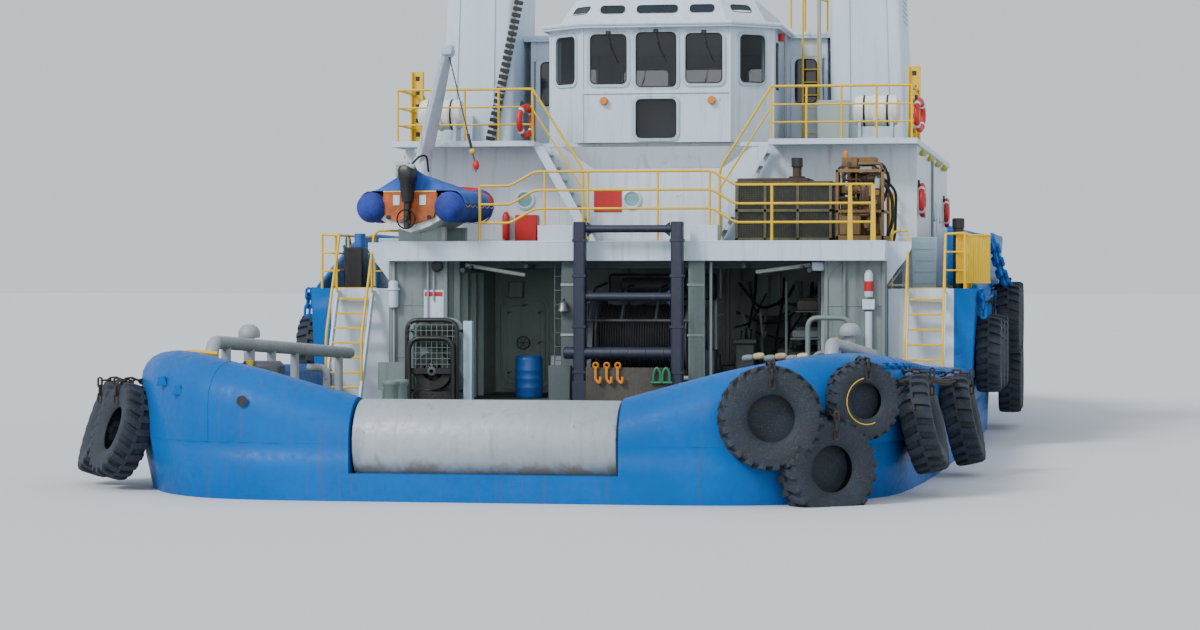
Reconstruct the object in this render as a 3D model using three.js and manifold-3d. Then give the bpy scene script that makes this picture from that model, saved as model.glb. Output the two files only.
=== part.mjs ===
// Harbour tug with an open aft deck, a stern roller and a tow winch in a shelter.
// Millimetres. +X is starboard, +Y is forward, +Z is up. The origin is on the waterline, amidships.
import * as THREE from 'three';
import { mergeVertices } from 'three/addons/utils/BufferGeometryUtils.js';
import Module from 'manifold-3d';

const wasm = await Module();
wasm.setup();

// Driving dimensions
const gap = 0.3;
const deckZ = 870;
const forecastleZ = 3150;
const boatDeckZ = 4080;
const boatDeckUnder = 3700;
const bridgeDeckZ = 6200;
const deckPlate = 80;
const eavesZ = 8620;
const keelZ = -4150;
const railHeight = 1100;
const railPipe = 30;

// Where the superstructure stands
const forecastleAft = -3500;
const shelterAft = -4250;
const bulkheadY = 900;
const bayHalf = 3800;
const casingHalf = 5020;
const houseHalf = 5430;
const houseAft = -700;
const houseFore = 12600;
const bridgeDeckAft = -1650;
const bayAft = -900;

// Stern gear
const rollerRadius = 650;
const rollerHalf = 2030;
const rollerY = -18050;
const rollerZ = 870;
const propX = 2500;
const propY = -15000;
const propZ = -2600;
const propRadius = 1180;
const shaftRadius = 130;
const rudderY = -16450;
const stockRadius = 125;
const axleRadius = 120;

// Tyres used as fenders
const tyreRadius = 775;
const tyreHole = 350;
const tyreHalfWidth = 250;
const lugDepth = 55;

// Finishes
const finish = (color, roughness, metalness = 0) =>
  new THREE.MeshStandardMaterial({ color, roughness, metalness });
const hullBlue = finish(0x1973c3, 0.45);
const sternGrey = finish(0x949da2, 0.7, 0.2);
const deckGreen = finish(0x5f6f66, 0.85);
const houseWhite = finish(0xdce4ea, 0.5);
const casingGrey = finish(0xa6b0a8, 0.6);
const railYellow = finish(0xebcd3c, 0.5);
const frameDark = finish(0x282d3c, 0.5, 0.2);
const pipeGrey = finish(0x8c9696, 0.55, 0.2);
const rubber = finish(0x2d3237, 0.9);
const bronze = finish(0xa07a45, 0.4, 0.8);
const boatBlue = finish(0x233c96, 0.6);
const engineBlack = finish(0x1d2023, 0.5);
const ochre = finish(0xa06e32, 0.7);
const olive = finish(0x4b4632, 0.85);
const barrelBlue = finish(0x1e5aa0, 0.5);

// Solids from closed three.js geometry

function toSolid(geometry) {
  const bare = geometry.clone();
  bare.deleteAttribute('normal');
  bare.deleteAttribute('uv');
  const merged = mergeVertices(bare, 1e-3);
  const corners = Array.from(merged.index.array);
  const kept = [];
  for (let i = 0; i < corners.length; i += 3) {
    const [a, b, c] = corners.slice(i, i + 3);
    if (a !== b && b !== c && c !== a) kept.push(a, b, c);
  }
  return new wasm.Manifold(new wasm.Mesh({
    numProp: 3,
    vertProperties: Float32Array.from(merged.attributes.position.array),
    triVerts: Uint32Array.from(kept),
  }));
}

function toGeometry(shape) {
  const mesh = shape.getMesh();
  const geometry = new THREE.BufferGeometry();
  geometry.setAttribute('position', new THREE.BufferAttribute(Float32Array.from(mesh.vertProperties), 3));
  geometry.setIndex(Array.from(mesh.triVerts));
  geometry.computeVertexNormals();
  return geometry;
}

const join = (shapes) => shapes.reduce((all, shape) => all.add(shape));
const cut = (shape, tools) => tools.reduce((left, tool) => left.subtract(tool), shape);
const point = ([x, y, z]) => new THREE.Vector3(x, y, z);

// Box between two corners
function box([x0, y0, z0], [x1, y1, z1]) {
  const geometry = new THREE.BoxGeometry(x1 - x0, y1 - y0, z1 - z0);
  geometry.translate((x0 + x1) / 2, (y0 + y1) / 2, (z0 + z1) / 2);
  return toSolid(geometry);
}

// Round bar, cone or disc between two points
function bar(from, to, radius, sides = 6, endRadius = radius) {
  const start = point(from);
  const along = point(to).sub(start);
  const geometry = new THREE.CylinderGeometry(endRadius, radius, along.length(), sides);
  geometry.translate(0, along.length() / 2, 0);
  geometry.applyQuaternion(new THREE.Quaternion().setFromUnitVectors(
    new THREE.Vector3(0, 1, 0), along.clone().normalize()));
  geometry.translate(start.x, start.y, start.z);
  return toSolid(geometry);
}

// Round hole that a twelve-sided pin turns in without touching
const pinSlack = 0.5;
function bore(from, to, pinRadius) {
  const holeSides = 16;
  return bar(from, to, (pinRadius + pinSlack) / Math.cos(Math.PI / holeSides), holeSides);
}

// Square bar between two points, its sides level where the bar is level
function strut(from, to, width, depth = width) {
  const start = point(from);
  const along = point(to).sub(start);
  const geometry = new THREE.BoxGeometry(width, depth, along.length());
  const way = along.clone().normalize();
  const side = Math.abs(way.z) > 0.999
    ? new THREE.Vector3(1, 0, 0)
    : new THREE.Vector3(0, 0, 1).cross(way).normalize();
  const basis = new THREE.Matrix4().makeBasis(side, way.clone().cross(side), way);
  geometry.applyMatrix4(basis);
  geometry.translate(start.x + along.x / 2, start.y + along.y / 2, start.z + along.z / 2);
  return toSolid(geometry);
}

// Bent pipe through a list of points
function pipe(points, radius, sides = 6) {
  return join(points.slice(1).map((to, i) => bar(points[i], to, radius, sides)));
}

// Outline in two axes, pushed along the third
const pushAxes = {
  x: [[0, 1, 0], [0, 0, 1], [1, 0, 0]],
  y: [[1, 0, 0], [0, 0, 1], [0, -1, 0]],
  z: [[1, 0, 0], [0, 1, 0], [0, 0, 1]],
};
function prism(axis, outline, from, to, holes = []) {
  const loop = (corners) => corners.map(([a, b]) => new THREE.Vector2(a, b));
  const shape = new THREE.Shape(loop(outline));
  holes.forEach((hole) => shape.holes.push(new THREE.Path(loop(hole))));
  const geometry = new THREE.ExtrudeGeometry(shape, { depth: to - from, bevelEnabled: false });
  geometry.translate(0, 0, axis === 'y' ? -to : from);
  geometry.applyMatrix4(new THREE.Matrix4().makeBasis(...pushAxes[axis].map(point)));
  return toSolid(geometry);
}

// Skin over a row of closed rings that have the same number of points
function loft(rings) {
  const count = rings[0].length;
  const corners = rings.flat(2);
  const faces = [];
  for (let r = 0; r + 1 < rings.length; r += 1) {
    for (let i = 0; i < count; i += 1) {
      const a = r * count + i;
      const b = r * count + (i + 1) % count;
      faces.push(a, b, b + count, a, b + count, a + count);
    }
  }
  const last = (rings.length - 1) * count;
  for (let i = 1; i + 1 < count; i += 1) {
    faces.push(0, i + 1, i);
    faces.push(last, last + i, last + i + 1);
  }
  if (signedVolume(corners, faces) < 0) faces.reverse();
  const geometry = new THREE.BufferGeometry();
  geometry.setAttribute('position', new THREE.BufferAttribute(Float32Array.from(corners), 3));
  geometry.setIndex(faces);
  return geometry;
}

function signedVolume(corners, faces) {
  const at = (i) => point(corners.slice(3 * i, 3 * i + 3));
  let volume = 0;
  for (let i = 0; i < faces.length; i += 3) {
    volume += at(faces[i]).dot(at(faces[i + 1]).cross(at(faces[i + 2])));
  }
  return volume;
}

// Ring turned about the X axis: radius and place along the axis of each profile point
function turned(profile, segments) {
  const outline = profile.map(([radius, along]) => new THREE.Vector2(radius, along));
  const geometry = new THREE.LatheGeometry([...outline, outline[0]], segments);
  geometry.rotateZ(-Math.PI / 2);
  return geometry;
}

const mirrored = (rows) => rows.map(([x, y, z]) => [-x, y, z]);
const sides = [['port', -1], ['starboard', 1]];

// Ship's parts are collected here, with the ones that turn placed at their own axes
const tug = new THREE.Group();
tug.name = 'tugboat';

function add(name, shape, material, at = [0, 0, 0], turn = [0, 0, 0]) {
  const mesh = new THREE.Mesh(shape.isBufferGeometry ? shape : toGeometry(shape), material);
  mesh.name = name;
  mesh.position.set(...at);
  mesh.rotation.set(...turn);
  tug.add(mesh);
  return mesh;
}

// Hull stations: half-breadths at deck, waterline, bilge and floor, then the heights of the last two
const hullStations = [
  // y, deck, side, bilge, floor, bilgeZ, floorZ
  [-18750, 2060, 2000, 1500, 500, -250, -330],
  [-18700, 3500, 3350, 2700, 800, -300, -400],
  [-18450, 4500, 4300, 3600, 1100, -380, -480],
  [-17900, 5200, 5000, 4300, 1500, -470, -570],
  [-17100, 5750, 5550, 4900, 1800, -620, -720],
  [-15700, 6230, 6050, 5400, 2200, -780, -900],
  [-12000, 6450, 6350, 5800, 2400, -1150, -1450],
  [-8000, 6560, 6500, 6000, 2800, -2300, -3200],
  [-3600, 6650, 6620, 6200, 3200, -3050, -3850],
  [1000, 6700, 6690, 6300, 3400, -3200, -4000],
  [6000, 6700, 6650, 6000, 3000, -3200, -4000],
  [10000, 6350, 6050, 5000, 2200, -3150, -4000],
  [13500, 5300, 4500, 3300, 1300, -3000, -3950],
  [16000, 3900, 2700, 1700, 600, -2700, -3600],
  [17800, 2400, 1100, 600, 250, -1900, -2500],
  [18700, 1300, 420, 200, 100, -600, -900],
  [19100, 300, 90, 70, 50, -110, -200],
];

function hullShell(lift = 0) {
  return loft(hullStations.map(([y, deck, side, bilge, floor, bilgeZ, floorZ]) => {
    const half = [[floor, floorZ], [bilge, bilgeZ], [side, 0], [deck, deckZ]];
    const port = half.map(([x, z]) => [-x, y, z + lift]).reverse();
    return [...half.map(([x, z]) => [x, y, z + lift]), ...port];
  }));
}

// Hull with its rudder trunks and the notch of the stern roller
function makeHull() {
  const trunks = sides.map(([, s]) =>
    bore([s * propX, rudderY, -500], [s * propX, rudderY, -1200], stockRadius));
  const notchHalf = rollerHalf + 30;
  const trough = bar([-notchHalf, rollerY, rollerZ], [notchHalf, rollerY, rollerZ], rollerRadius + 15, 24);
  const notch = box([-notchHalf, -19000, 420], [notchHalf, rollerY, 1500]);
  const axle = bore([-2430, rollerY, rollerZ], [2430, rollerY, rollerZ], axleRadius);
  return cut(toSolid(hullShell()), [...trunks, trough, notch, axle]);
}

// Bar keel under the hull, deep aft where it carries the skeg
function makeKeel() {
  const outline = [[-14000, -700], [-13200, keelZ], [9000, keelZ], [11500, -3700], [11500, -3000]];
  return prism('x', outline, -250, 250).subtract(toSolid(hullShell(-gap)));
}

// Stern bulwark stations: outer edge in plan, top height and thickness
const bulwarkStations = [
  // x, y, top, thickness, how far inboard and forward its inner edge lies, as a unit direction
  [2060, -18750, 1560, 1320, 0, 1],
  [3500, -18700, 1940, 1300, -0.06, 0.998],
  [4500, -18450, 2110, 1250, -0.35, 0.937],
  [5200, -17900, 2200, 1150, -0.62, 0.785],
  [5750, -17100, 2220, 1000, -0.87, 0.5],
  [6230, -15700, 2140, 800, -0.97, 0.24],
  [6450, -12000, 1900, 600, -1, 0],
  [6560, -8000, 1740, 420, -1, 0],
  [6650, -3500 - gap, 1600, 330, -1, 0],
];

function bulwarkRing([x, y, top, thick, dx, dy], side) {
  const round = thick / 2;
  const arc = [0, 30, 60, 90, 120, 150, 180].map((degrees) => {
    const angle = THREE.MathUtils.degToRad(degrees);
    return [round - round * Math.cos(angle), top - round + round * Math.sin(angle)];
  });
  const profile = [[0, deckZ + gap], ...arc, [thick, deckZ + gap]];
  return profile.map(([inboard, z]) => [side * (x + dx * inboard), y + dy * inboard, z]);
}

// One side of the stern bulwark, with the socket of the roller's axle
function makeSternBulwark(side) {
  const body = toSolid(loft(bulwarkStations.map((row) => bulwarkRing(row, side))));
  const socket = bore([side * 1900, rollerY, rollerZ], [side * 2430, rollerY, rollerZ], axleRadius);
  return body.subtract(socket);
}

// Forecastle stations: place, half-breadth at the main deck, half-breadth and height at its own deck
const forecastleStations = [
  // y, low, high, top
  [-3500, 6650, 6750, 3150],
  [1000, 6700, 6850, 3150],
  [6000, 6700, 6900, 3150],
  [10000, 6350, 6720, 3150],
  [13500, 5300, 6000, 3150],
  [16000, 3900, 4900, 3350],
  [17800, 2400, 3500, 3550],
  [18700, 1300, 2400, 3700],
  [19100, 300, 1700, 3700],
];

// Rubbing belt stations along one side: place, half-breadth of the shell at the belt
const beltStations = [
  // y, half
  [1400, 6768], [6000, 6790], [10000, 6510], [13500, 5600], [16000, 4320],
];

function forecastleShell() {
  return loft(forecastleStations.map(([y, low, high, top]) => [
    [low, y, deckZ + gap], [high, y, top], [-high, y, top], [-low, y, deckZ + gap],
  ]));
}

function stemShell() {
  return loft([
    [[300, 19100, 1000], [1700, 19100, 3700], [-1700, 19100, 3700], [-300, 19100, 1000]],
    [[200, 19400, 2600], [700, 19400, 3700], [-700, 19400, 3700], [-200, 19400, 2600]],
  ]);
}

// The forecastle in three blocks, each with the place where it starts
const forecastleBlocks = [
  // name, from, to
  ['forecastle_aft', -4000, 2600],
  ['forecastle_middle', 2600, 13500],
  ['forecastle_bow', 13500, 20000],
];

function makeForecastle() {
  const belts = sides.map(([, s]) => toSolid(loft(beltStations.map(([y, half]) => [
    [s * (half - 150), y, 1780], [s * (half + 120), y, 1850],
    [s * (half + 120), y, 2050], [s * (half - 150), y, 2120],
  ]))));
  const shelter = box([-casingHalf, -4000, 0], [casingHalf, bulkheadY + 100 + gap, 4000]);
  const passage = box([-3700, 800, 0], [-2600, 2600, 2900]);
  const whole = cut(join([toSolid(forecastleShell()), toSolid(stemShell()), ...belts]), [shelter, passage]);
  return forecastleBlocks.map(([name, from, to]) =>
    [name, whole.intersect(box([-8000, from + gap, 0], [8000, to, 8000]))]);
}

// Upper bulwark round the bow: outer edge, the foot and top heights and the width of the foot ring
const bowStations = [
  // y, foot, flare, z0, z1, thick
  [-3000, 6758, 0, 3150, 3230, 110],
  [1000, 6850, 40, 3150, 4200, 110],
  [6000, 6900, 60, 3150, 4260, 110],
  [10000, 6720, 110, 3150, 4330, 115],
  [13500, 6000, 160, 3150, 4450, 150],
  [16000, 4900, 200, 3350, 4750, 170],
  [17800, 3500, 230, 3550, 5000, 220],
  [18700, 2400, 260, 3700, 5150, 320],
  [19100, 1700, 260, 3700, 5200, 420],
  [19400, 700, 100, 3700, 5230, 300],
];

function makeBowBulwark() {
  const ring = (side) => ([y, foot, flare, z0, z1, thick]) => {
    const back = y > 19300 ? 110 : 0;
    return [
      [side * foot, y, z0 + gap], [side * (foot + flare), y, z1],
      [side * (foot + flare - thick), y - back, z1], [side * (foot - thick), y - back, z0 + gap],
    ];
  };
  const starboard = bowStations.map(ring(1));
  const port = bowStations.map(ring(-1)).reverse();
  return toSolid(loft([...starboard, ...port]));
}

// Stern roller on its axle
function makeRoller() {
  return join([
    bar([-rollerHalf, 0, 0], [rollerHalf, 0, 0], rollerRadius, 24),
    bar([-rollerHalf - 300, 0, 0], [rollerHalf + 300, 0, 0], axleRadius, 12),
  ]);
}

// Nozzle round a propeller, with its strut up to the hull and the stern tube ahead of it
function makeNozzle(side) {
  const x = side * propX;
  const inner = propRadius + 40;
  const ringTop = propZ + inner + 60;
  const headHalf = 200;
  const legHalf = 50;
  const geometry = turned([[inner + 130, -560], [inner + 160, 540], [inner + 100, 560], [inner, -560]], 24);
  geometry.rotateZ(-Math.PI / 2);
  geometry.translate(x, propY, propZ);
  const head = box([x - headHalf, propY - 300, ringTop], [x + headHalf, propY + 400, -700]);
  const tube = bar([x, -8600, propZ], [x, propY + 750, propZ], 260, 12);
  const leg = box([x - legHalf, propY + 500, propZ], [x + legHalf, propY + 1650, -900]);
  const legFoot = box([x - legHalf, propY + 350, ringTop], [x + legHalf, propY + 1000, -900]);
  const shaftHole = bore([x, -12500, propZ], [x, propY + 300, propZ], shaftRadius);
  return cut(join([toSolid(geometry), head, tube, leg, legFoot]), [toSolid(hullShell(-gap)), shaftHole]);
}

// Four bladed propeller with its shaft, turning about the Y axis
function makePropeller(side) {
  const outline = [
    [-90, 150], [-330, 700], [-300, 1080], [0, propRadius], [300, 1080], [330, 700], [90, 150],
  ];
  const pitch = THREE.MathUtils.degToRad(32 * side);
  const blades = [0, 90, 180, 270].map((degrees) => {
    const shape = new THREE.Shape(outline.map(([a, b]) => new THREE.Vector2(a, b)));
    const geometry = new THREE.ExtrudeGeometry(shape, { depth: 60, bevelEnabled: false });
    geometry.translate(0, 0, -30);
    geometry.rotateX(Math.PI / 2);
    geometry.rotateZ(pitch);
    geometry.rotateY(THREE.MathUtils.degToRad(degrees));
    return toSolid(geometry);
  });
  const hub = bar([0, -330, 0], [0, 330, 0], 270, 12, 300);
  const cap = bar([0, -620, 0], [0, -330, 0], 90, 12, 270);
  const shaft = bar([0, 300, 0], [0, 2480, 0], shaftRadius, 12);
  return join([hub, cap, shaft, ...blades]);
}

// Rudder with its stock, turning about the Z axis
function makeRudder() {
  const section = [
    [0, 420], [110, 250], [125, 0], [60, -550], [0, -1000], [-60, -550], [-125, 0], [-110, 250],
  ];
  const blade = prism('z', section, -3750, -1130);
  const stock = bar([0, 0, -1400], [0, 0, -720], stockRadius, 12);
  return blade.add(stock);
}

// One tyre fender, its hole facing along X, with every other edge of its tread drawn in between the lugs
function tyre(center, facing, lean, segments, size = 1) {
  const profile = [
    [tyreHole, -150], [tyreRadius - 150, -tyreHalfWidth], [tyreRadius, -tyreHalfWidth + 60],
    [tyreRadius, tyreHalfWidth - 60], [tyreRadius - 150, tyreHalfWidth], [tyreHole, 150],
  ];
  const geometry = turned(profile, segments);
  const corners = geometry.attributes.position;
  const perEdge = profile.length + 1;
  for (let i = 0; i < corners.count; i += 1) {
    const [x, y, z] = [corners.getX(i), corners.getY(i), corners.getZ(i)];
    const between = Math.floor(i / perEdge) % 2 === 1;
    const scale = between && Math.hypot(y, z) > tyreRadius - 1 ? 1 - lugDepth / tyreRadius : 1;
    corners.setXYZ(i, x, y * scale, z * scale);
  }
  geometry.scale(size, size, size);
  geometry.rotateY(THREE.MathUtils.degToRad(lean));
  geometry.rotateZ(THREE.MathUtils.degToRad(facing));
  geometry.translate(...center);
  return toSolid(geometry);
}

// How high over its centre a tyre hangs from its chain
const tyreHang = 560;

// Tyres round the stern quarters, with the way each one faces and how far its foot swings out, in degrees
const quarterTyres = {
  starboard: [
    // x, y, z, facing, lean, size
    [4320, -18800, 1310, -76, 0, 1],
    [5130, -18350, 550, -52, 0, 1],
    [5600, -17750, 1530, -56, 0, 0.77],
    [6420, -16150, 1120, -3, -13, 1],
    [6830, -11400, 950, -2, -12, 1],
  ],
  port: [
    // x, y, z, facing, lean, size
    [-6255, -16845, 930, -143, -18, 1],
    [-6880, -15800, 900, -155, -18, 1],
  ],
};

// Tyres of one quarter, with the chain that runs from tyre to tyre
function makeQuarterTyres(rows, side) {
  const lugReach = 900;
  const bulwark = loft(bulwarkStations.map((row) => bulwarkRing(row, side)));
  bulwark.translate(side * gap, -gap, 0);
  const tyres = rows.map(([x, y, z, facing, lean, size]) => tyre([x, y, z], facing, lean, 24, size));
  const hangs = rows.map(([x, y, z, , , size]) => [x, y, z + tyreHang * size]);
  const links = hangs.slice(1).map((to, i) => strut(hangs[i], to, 50));
  const lugs = rows.map(([x, y, , facing], i) => {
    const angle = THREE.MathUtils.degToRad(facing);
    const root = [x - lugReach * Math.cos(angle), y - lugReach * Math.sin(angle), hangs[i][2]];
    return strut(hangs[i], root, 70);
  });
  return join([...tyres, ...links, ...lugs]).subtract(toSolid(bulwark));
}

// Tyres hung along the side: place, half-breadth at their middle and height
const sideTyres = [
  // y, x, z
  [-2300, 6975, 1840],
  [-850, 6995, 1840],
  [600, 7020, 1840],
  [2500, 7230, 2500],
  [4000, 7230, 2500],
  [4000, 7230, 1150],
  [5500, 7230, 2500],
  [5500, 7230, 1150],
];

// Chains they hang on
const sideChainX = 7100;
const sideChains = [
  // from y, z to y, z
  [-2300, 2400, 600, 2400],
  [600, 2400, 2500, 3060],
  [2500, 3060, 5500, 3060],
];

// Tyres along one side, strung on chains
function makeSideTyres(side) {
  const lugEnd = 6600;
  const tyres = sideTyres.map(([y, x, z]) => tyre([side * x, y, z], 0, 0, 12));
  const chains = sideChains.map(([y0, z0, y1, z1]) =>
    strut([side * sideChainX, y0, z0], [side * sideChainX, y1, z1], 50));
  const lugs = sideTyres.map(([y, x, z]) =>
    strut([side * x, y, z + tyreHang], [side * lugEnd, y, z + tyreHang], 70));
  const shell = forecastleShell();
  shell.translate(side * gap, 0, 0);
  return join([...tyres, ...chains, ...lugs]).subtract(toSolid(shell));
}

// Tow gate: two columns joined by cross pipes
function makeTowFrame() {
  const columns = [[-1110, -830], [830, 1110]].map(([x0, x1]) =>
    box([x0, -4760, deckZ + gap], [x1, -4480, 4470]));
  const pipes = [[4330, 75], [2990, 85], [1880, 120]].map(([z, radius]) =>
    bar([-1000, -4620, z], [1000, -4620, z], radius, 10));
  const outrigger = bar([-1290, -4620, 1880], [-1000, -4620, 1880], 120, 10);
  const sill = box([-1110, -4760, deckZ + gap], [1110, -4480, 1330]);
  return join([...columns, ...pipes, outrigger, sill]);
}

// Tow winch: side frames on a bed, and the drum that turns between them
const winch = { y: -2200, z: 2150, half: 950, core: 420, flange: 900 };

function makeWinchBase() {
  const bed = box([-1500, -3300, deckZ + gap], [1500, -1100, 1130]);
  const cheeks = [-1, 1].map((s) => {
    const x = s * (winch.half + 130);
    const cheek = prism('x', [[-3200, 1100], [-1200, 1100], [-1750, 2550], [-2650, 2550]], x - 60, x + 60);
    return cheek.subtract(bore([x - 80, winch.y, winch.z], [x + 80, winch.y, winch.z], axleRadius));
  });
  const motor = box([winch.half + 180, -2600, 1100], [winch.half + 500, -1800, 1900]);
  return join([bed, ...cheeks, motor]);
}

function makeWinchDrum() {
  const flanges = [-1, 1].map((s) =>
    bar([s * (winch.half - 60), 0, 0], [s * winch.half, 0, 0], winch.flange, 20));
  const core = bar([-winch.half, 0, 0], [winch.half, 0, 0], winch.core, 16);
  const axle = bar([-winch.half - 190, 0, 0], [winch.half + 190, 0, 0], axleRadius, 12);
  return join([core, axle, ...flanges]);
}

// Side casings of the shelter and the bulkhead between them
const doorway = { x0: -3560, x1: -2760, z0: 1090, z1: 2820 };
const shelterDoor = { at: [-3650, bulkheadY, 1050], width: 960, height: 1810 };

function makeShelterWalls() {
  const low = deckZ + gap;
  const high = boatDeckUnder - gap;
  const outer = casingHalf - gap;
  const walls = box([-outer, -3900, low], [outer, bulkheadY + 100, high]);
  const bay = box([-bayHalf, -5000, 0], [bayHalf, bulkheadY, 5000]);
  const opening = box([doorway.x0 - 5, 0, doorway.z0 - 5], [doorway.x1 + 5, 2000, doorway.z1 + 5]);
  const lugs = makeHingeLugs(shelterDoor.at, shelterDoor.height);
  return join([cut(walls, [bay, opening]), ...lugs]);
}

// Steel door hung on the after face of a wall. The leaf's own origin is at the foot of its hinge pin, and it
// runs toward the side given by hand, 1 for starboard and -1 for port.
const hinge = { out: 35, barrel: 16, lug: 20, end: 60 };

function makeDoor(width, height, hand) {
  const spanX = (a, b) => [Math.min(hand * a, hand * b), Math.max(hand * a, hand * b)];
  const [leafLow, leafHigh] = spanX(34, width);
  const [webLow, webHigh] = spanX(0, 60);
  const [rimLow, rimHigh] = spanX(110, width - 80);
  const [handleLow, handleHigh] = spanX(width - 150, width - 90);
  return join([
    box([leafLow, -20, 0], [leafHigh, 20, height]),
    box([webLow, -6, hinge.end], [webHigh, 6, height - hinge.end]),
    bar([0, 0, hinge.end], [0, 0, height - hinge.end], hinge.barrel, 8),
    box([rimLow, -40, 90], [rimHigh, -10, height - 90]),
    box([handleLow, -90, height / 2 - 20], [handleHigh, -30, height / 2 + 20]),
  ]);
}

// Lugs that carry the pin of such a door, rooted in the wall
function makeHingeLugs([x, wallY, z], height) {
  const half = hinge.lug;
  return [[0, hinge.end - gap], [height - hinge.end + gap, height]].map(([low, high]) =>
    box([x - half, wallY - hinge.out - half, z + low], [x + half, wallY + 20, z + high]));
}

// Boat deck over the shelter, with the raised blocks beside the tow gate, two pillars and the davit's post
const davit = { x: -4800, y: -1800, z: 5400 };

function makeBoatDeck() {
  const plate = box([-casingHalf, shelterAft, boatDeckUnder], [casingHalf, bulkheadY + 100, boatDeckZ]);
  const blocks = [[-1890, -1180], [1180, 1720]].map(([x0, x1]) =>
    box([x0, shelterAft, boatDeckZ - 50], [x1, shelterAft + 350, boatDeckZ + 330]));
  const pillars = [[-1420, -1130], [1130, 1420]].map(([x0, x1]) =>
    box([x0, -4100, deckZ + gap], [x1, -3850, boatDeckUnder + 10]));
  const pedestal = bar([davit.x, davit.y, boatDeckUnder + 10], [davit.x, davit.y, davit.z - gap], 150, 12);
  return join([plate, ...blocks, ...pillars, pedestal]);
}

// Deck house between the forecastle and the bridge deck
function makeHouse() {
  const low = forecastleZ + gap;
  const step = boatDeckZ + gap;
  const top = bridgeDeckZ - deckPlate - gap;
  const outline = [
    [houseAft, step], [bulkheadY + 100 + 2 * gap, step], [bulkheadY + 100 + 2 * gap, low],
    [houseFore, low], [houseFore - 500, top], [houseAft, top],
  ];
  const sill = { half: 1560, low: 5670, out: bayAft + gap };
  const wedge = toSolid(loft([
    // outer half, inner half, outer y, z
    [sill.half, sill.half + 500, sill.out, top - 10],
    [sill.half - 200, sill.half - 150, houseAft - 10, sill.low],
  ].map(([outer, inner, y, z]) => [
    [-outer, y, z], [outer, y, z], [inner, houseAft + 20, z], [-inner, houseAft + 20, z],
  ])));
  return prism('x', outline, -houseHalf, houseHalf).add(wedge);
}

// Bridge deck, cut back behind the middle bay for the two stairs
function makeBridgeDeck() {
  const low = bridgeDeckZ - deckPlate;
  const outline = [
    [-2450, bridgeDeckAft], [-houseHalf, bridgeDeckAft], [-houseHalf - 60, houseFore - 300],
    [houseHalf + 60, houseFore - 300], [houseHalf, bridgeDeckAft], [2450, bridgeDeckAft],
    [2450, -720], [-2450, -720],
  ];
  return prism('z', outline, low, bridgeDeckZ);
}

// Stairs from the boat deck up to the bridge deck, running down toward the middle
function makeStairs(side) {
  const top = [side * 2440, bridgeDeckZ];
  const foot = [side * 1250, boatDeckZ + gap];
  const treads = [1, 2, 3, 4, 5, 6, 7].map((step) => {
    const t = step / 8;
    const x = foot[0] + (top[0] - foot[0]) * t;
    const z = foot[1] + (top[1] - foot[1]) * t;
    return box([x - 110, -1560, z - 20], [x + 110, -880, z + 20]);
  });
  const strings = [-1570, -890].map((y) => prism('y', [
    [foot[0] - 110, foot[1]], [foot[0] + 110, foot[1]], [top[0] + 110 - side * 60, top[1] - 90],
    [top[0] - 110 - side * 60, top[1] - 90],
  ], y, y + 30));
  return join([...treads, ...strings]);
}

// Wheelhouse: bay looking aft and wider body, in plan
const wheelOutline = [
  [-3300, 2400], [-2380, 2400], [-2380, -150], [-1560, bayAft], [1560, bayAft], [2380, -150], [2380, 2400],
  [3300, 2400], [3300, 6300], [2300, 7600], [-2300, 7600], [-3300, 6300],
];
const wheelInner = [
  [-3210, 2490], [-2290, 2490], [-2290, -110], [-1525, -810], [1525, -810], [2290, -110], [2290, 2490],
  [3210, 2490], [3210, 6270], [2258, 7510], [-2258, 7510], [-3210, 6270],
];

// Window cutters: a box that is turned about Z to face out through a wall
function windowCutter([x, y, z, width, height, facing]) {
  const geometry = new THREE.BoxGeometry(width, 500, height);
  geometry.rotateZ(THREE.MathUtils.degToRad(facing));
  geometry.translate(x, y, z);
  return toSolid(geometry);
}
const windowRows = [
  // x, y, z, width, height, degrees turned from facing aft
  [-1010, -900, 7950, 780, 1050, 0],
  [0, -900, 7930, 860, 1150, 0],
  [1010, -900, 7950, 780, 1050, 0],
  [0, -900, 6700, 860, 820, 0],
  [-1970, -525, 7950, 640, 1000, -42],
  [1970, -525, 7950, 640, 1000, 42],
  [-3300, 3700, 7850, 1000, 950, 90],
  [3300, 3700, 7850, 1000, 950, 90],
  [-3300, 5200, 7850, 1000, 950, 90],
  [3300, 5200, 7850, 1000, 950, 90],
  [-2800, 6950, 7850, 1050, 950, -52],
  [2800, 6950, 7850, 1050, 950, 52],
  [-1500, 7600, 7850, 1100, 950, 0],
  [0, 7600, 7850, 1300, 950, 0],
  [1500, 7600, 7850, 1100, 950, 0],
];

const wheelDoor = { inner: 2560, outer: 3140, z0: 6290, z1: 8180 };
const bridgeDoor = { x: 3200, y: 2400, z: 6250, width: 700, height: 1970 };

function makeWheelhouseWalls() {
  const shell = prism('z', wheelOutline, bridgeDeckZ + gap, eavesZ, [wheelInner]);
  const doors = [-1, 1].map((s) => {
    const ends = [s * wheelDoor.inner, s * wheelDoor.outer];
    const [left, right] = [Math.min(...ends) - 5, Math.max(...ends) + 5];
    return box([left, 2000, wheelDoor.z0 - 5], [right, 2700, wheelDoor.z1 + 5]);
  });
  const lugs = [-1, 1].flatMap((s) =>
    makeHingeLugs([s * bridgeDoor.x, bridgeDoor.y, bridgeDoor.z], bridgeDoor.height));
  return join([cut(shell, [...windowRows.map(windowCutter), ...doors]), ...lugs]);
}

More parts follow.
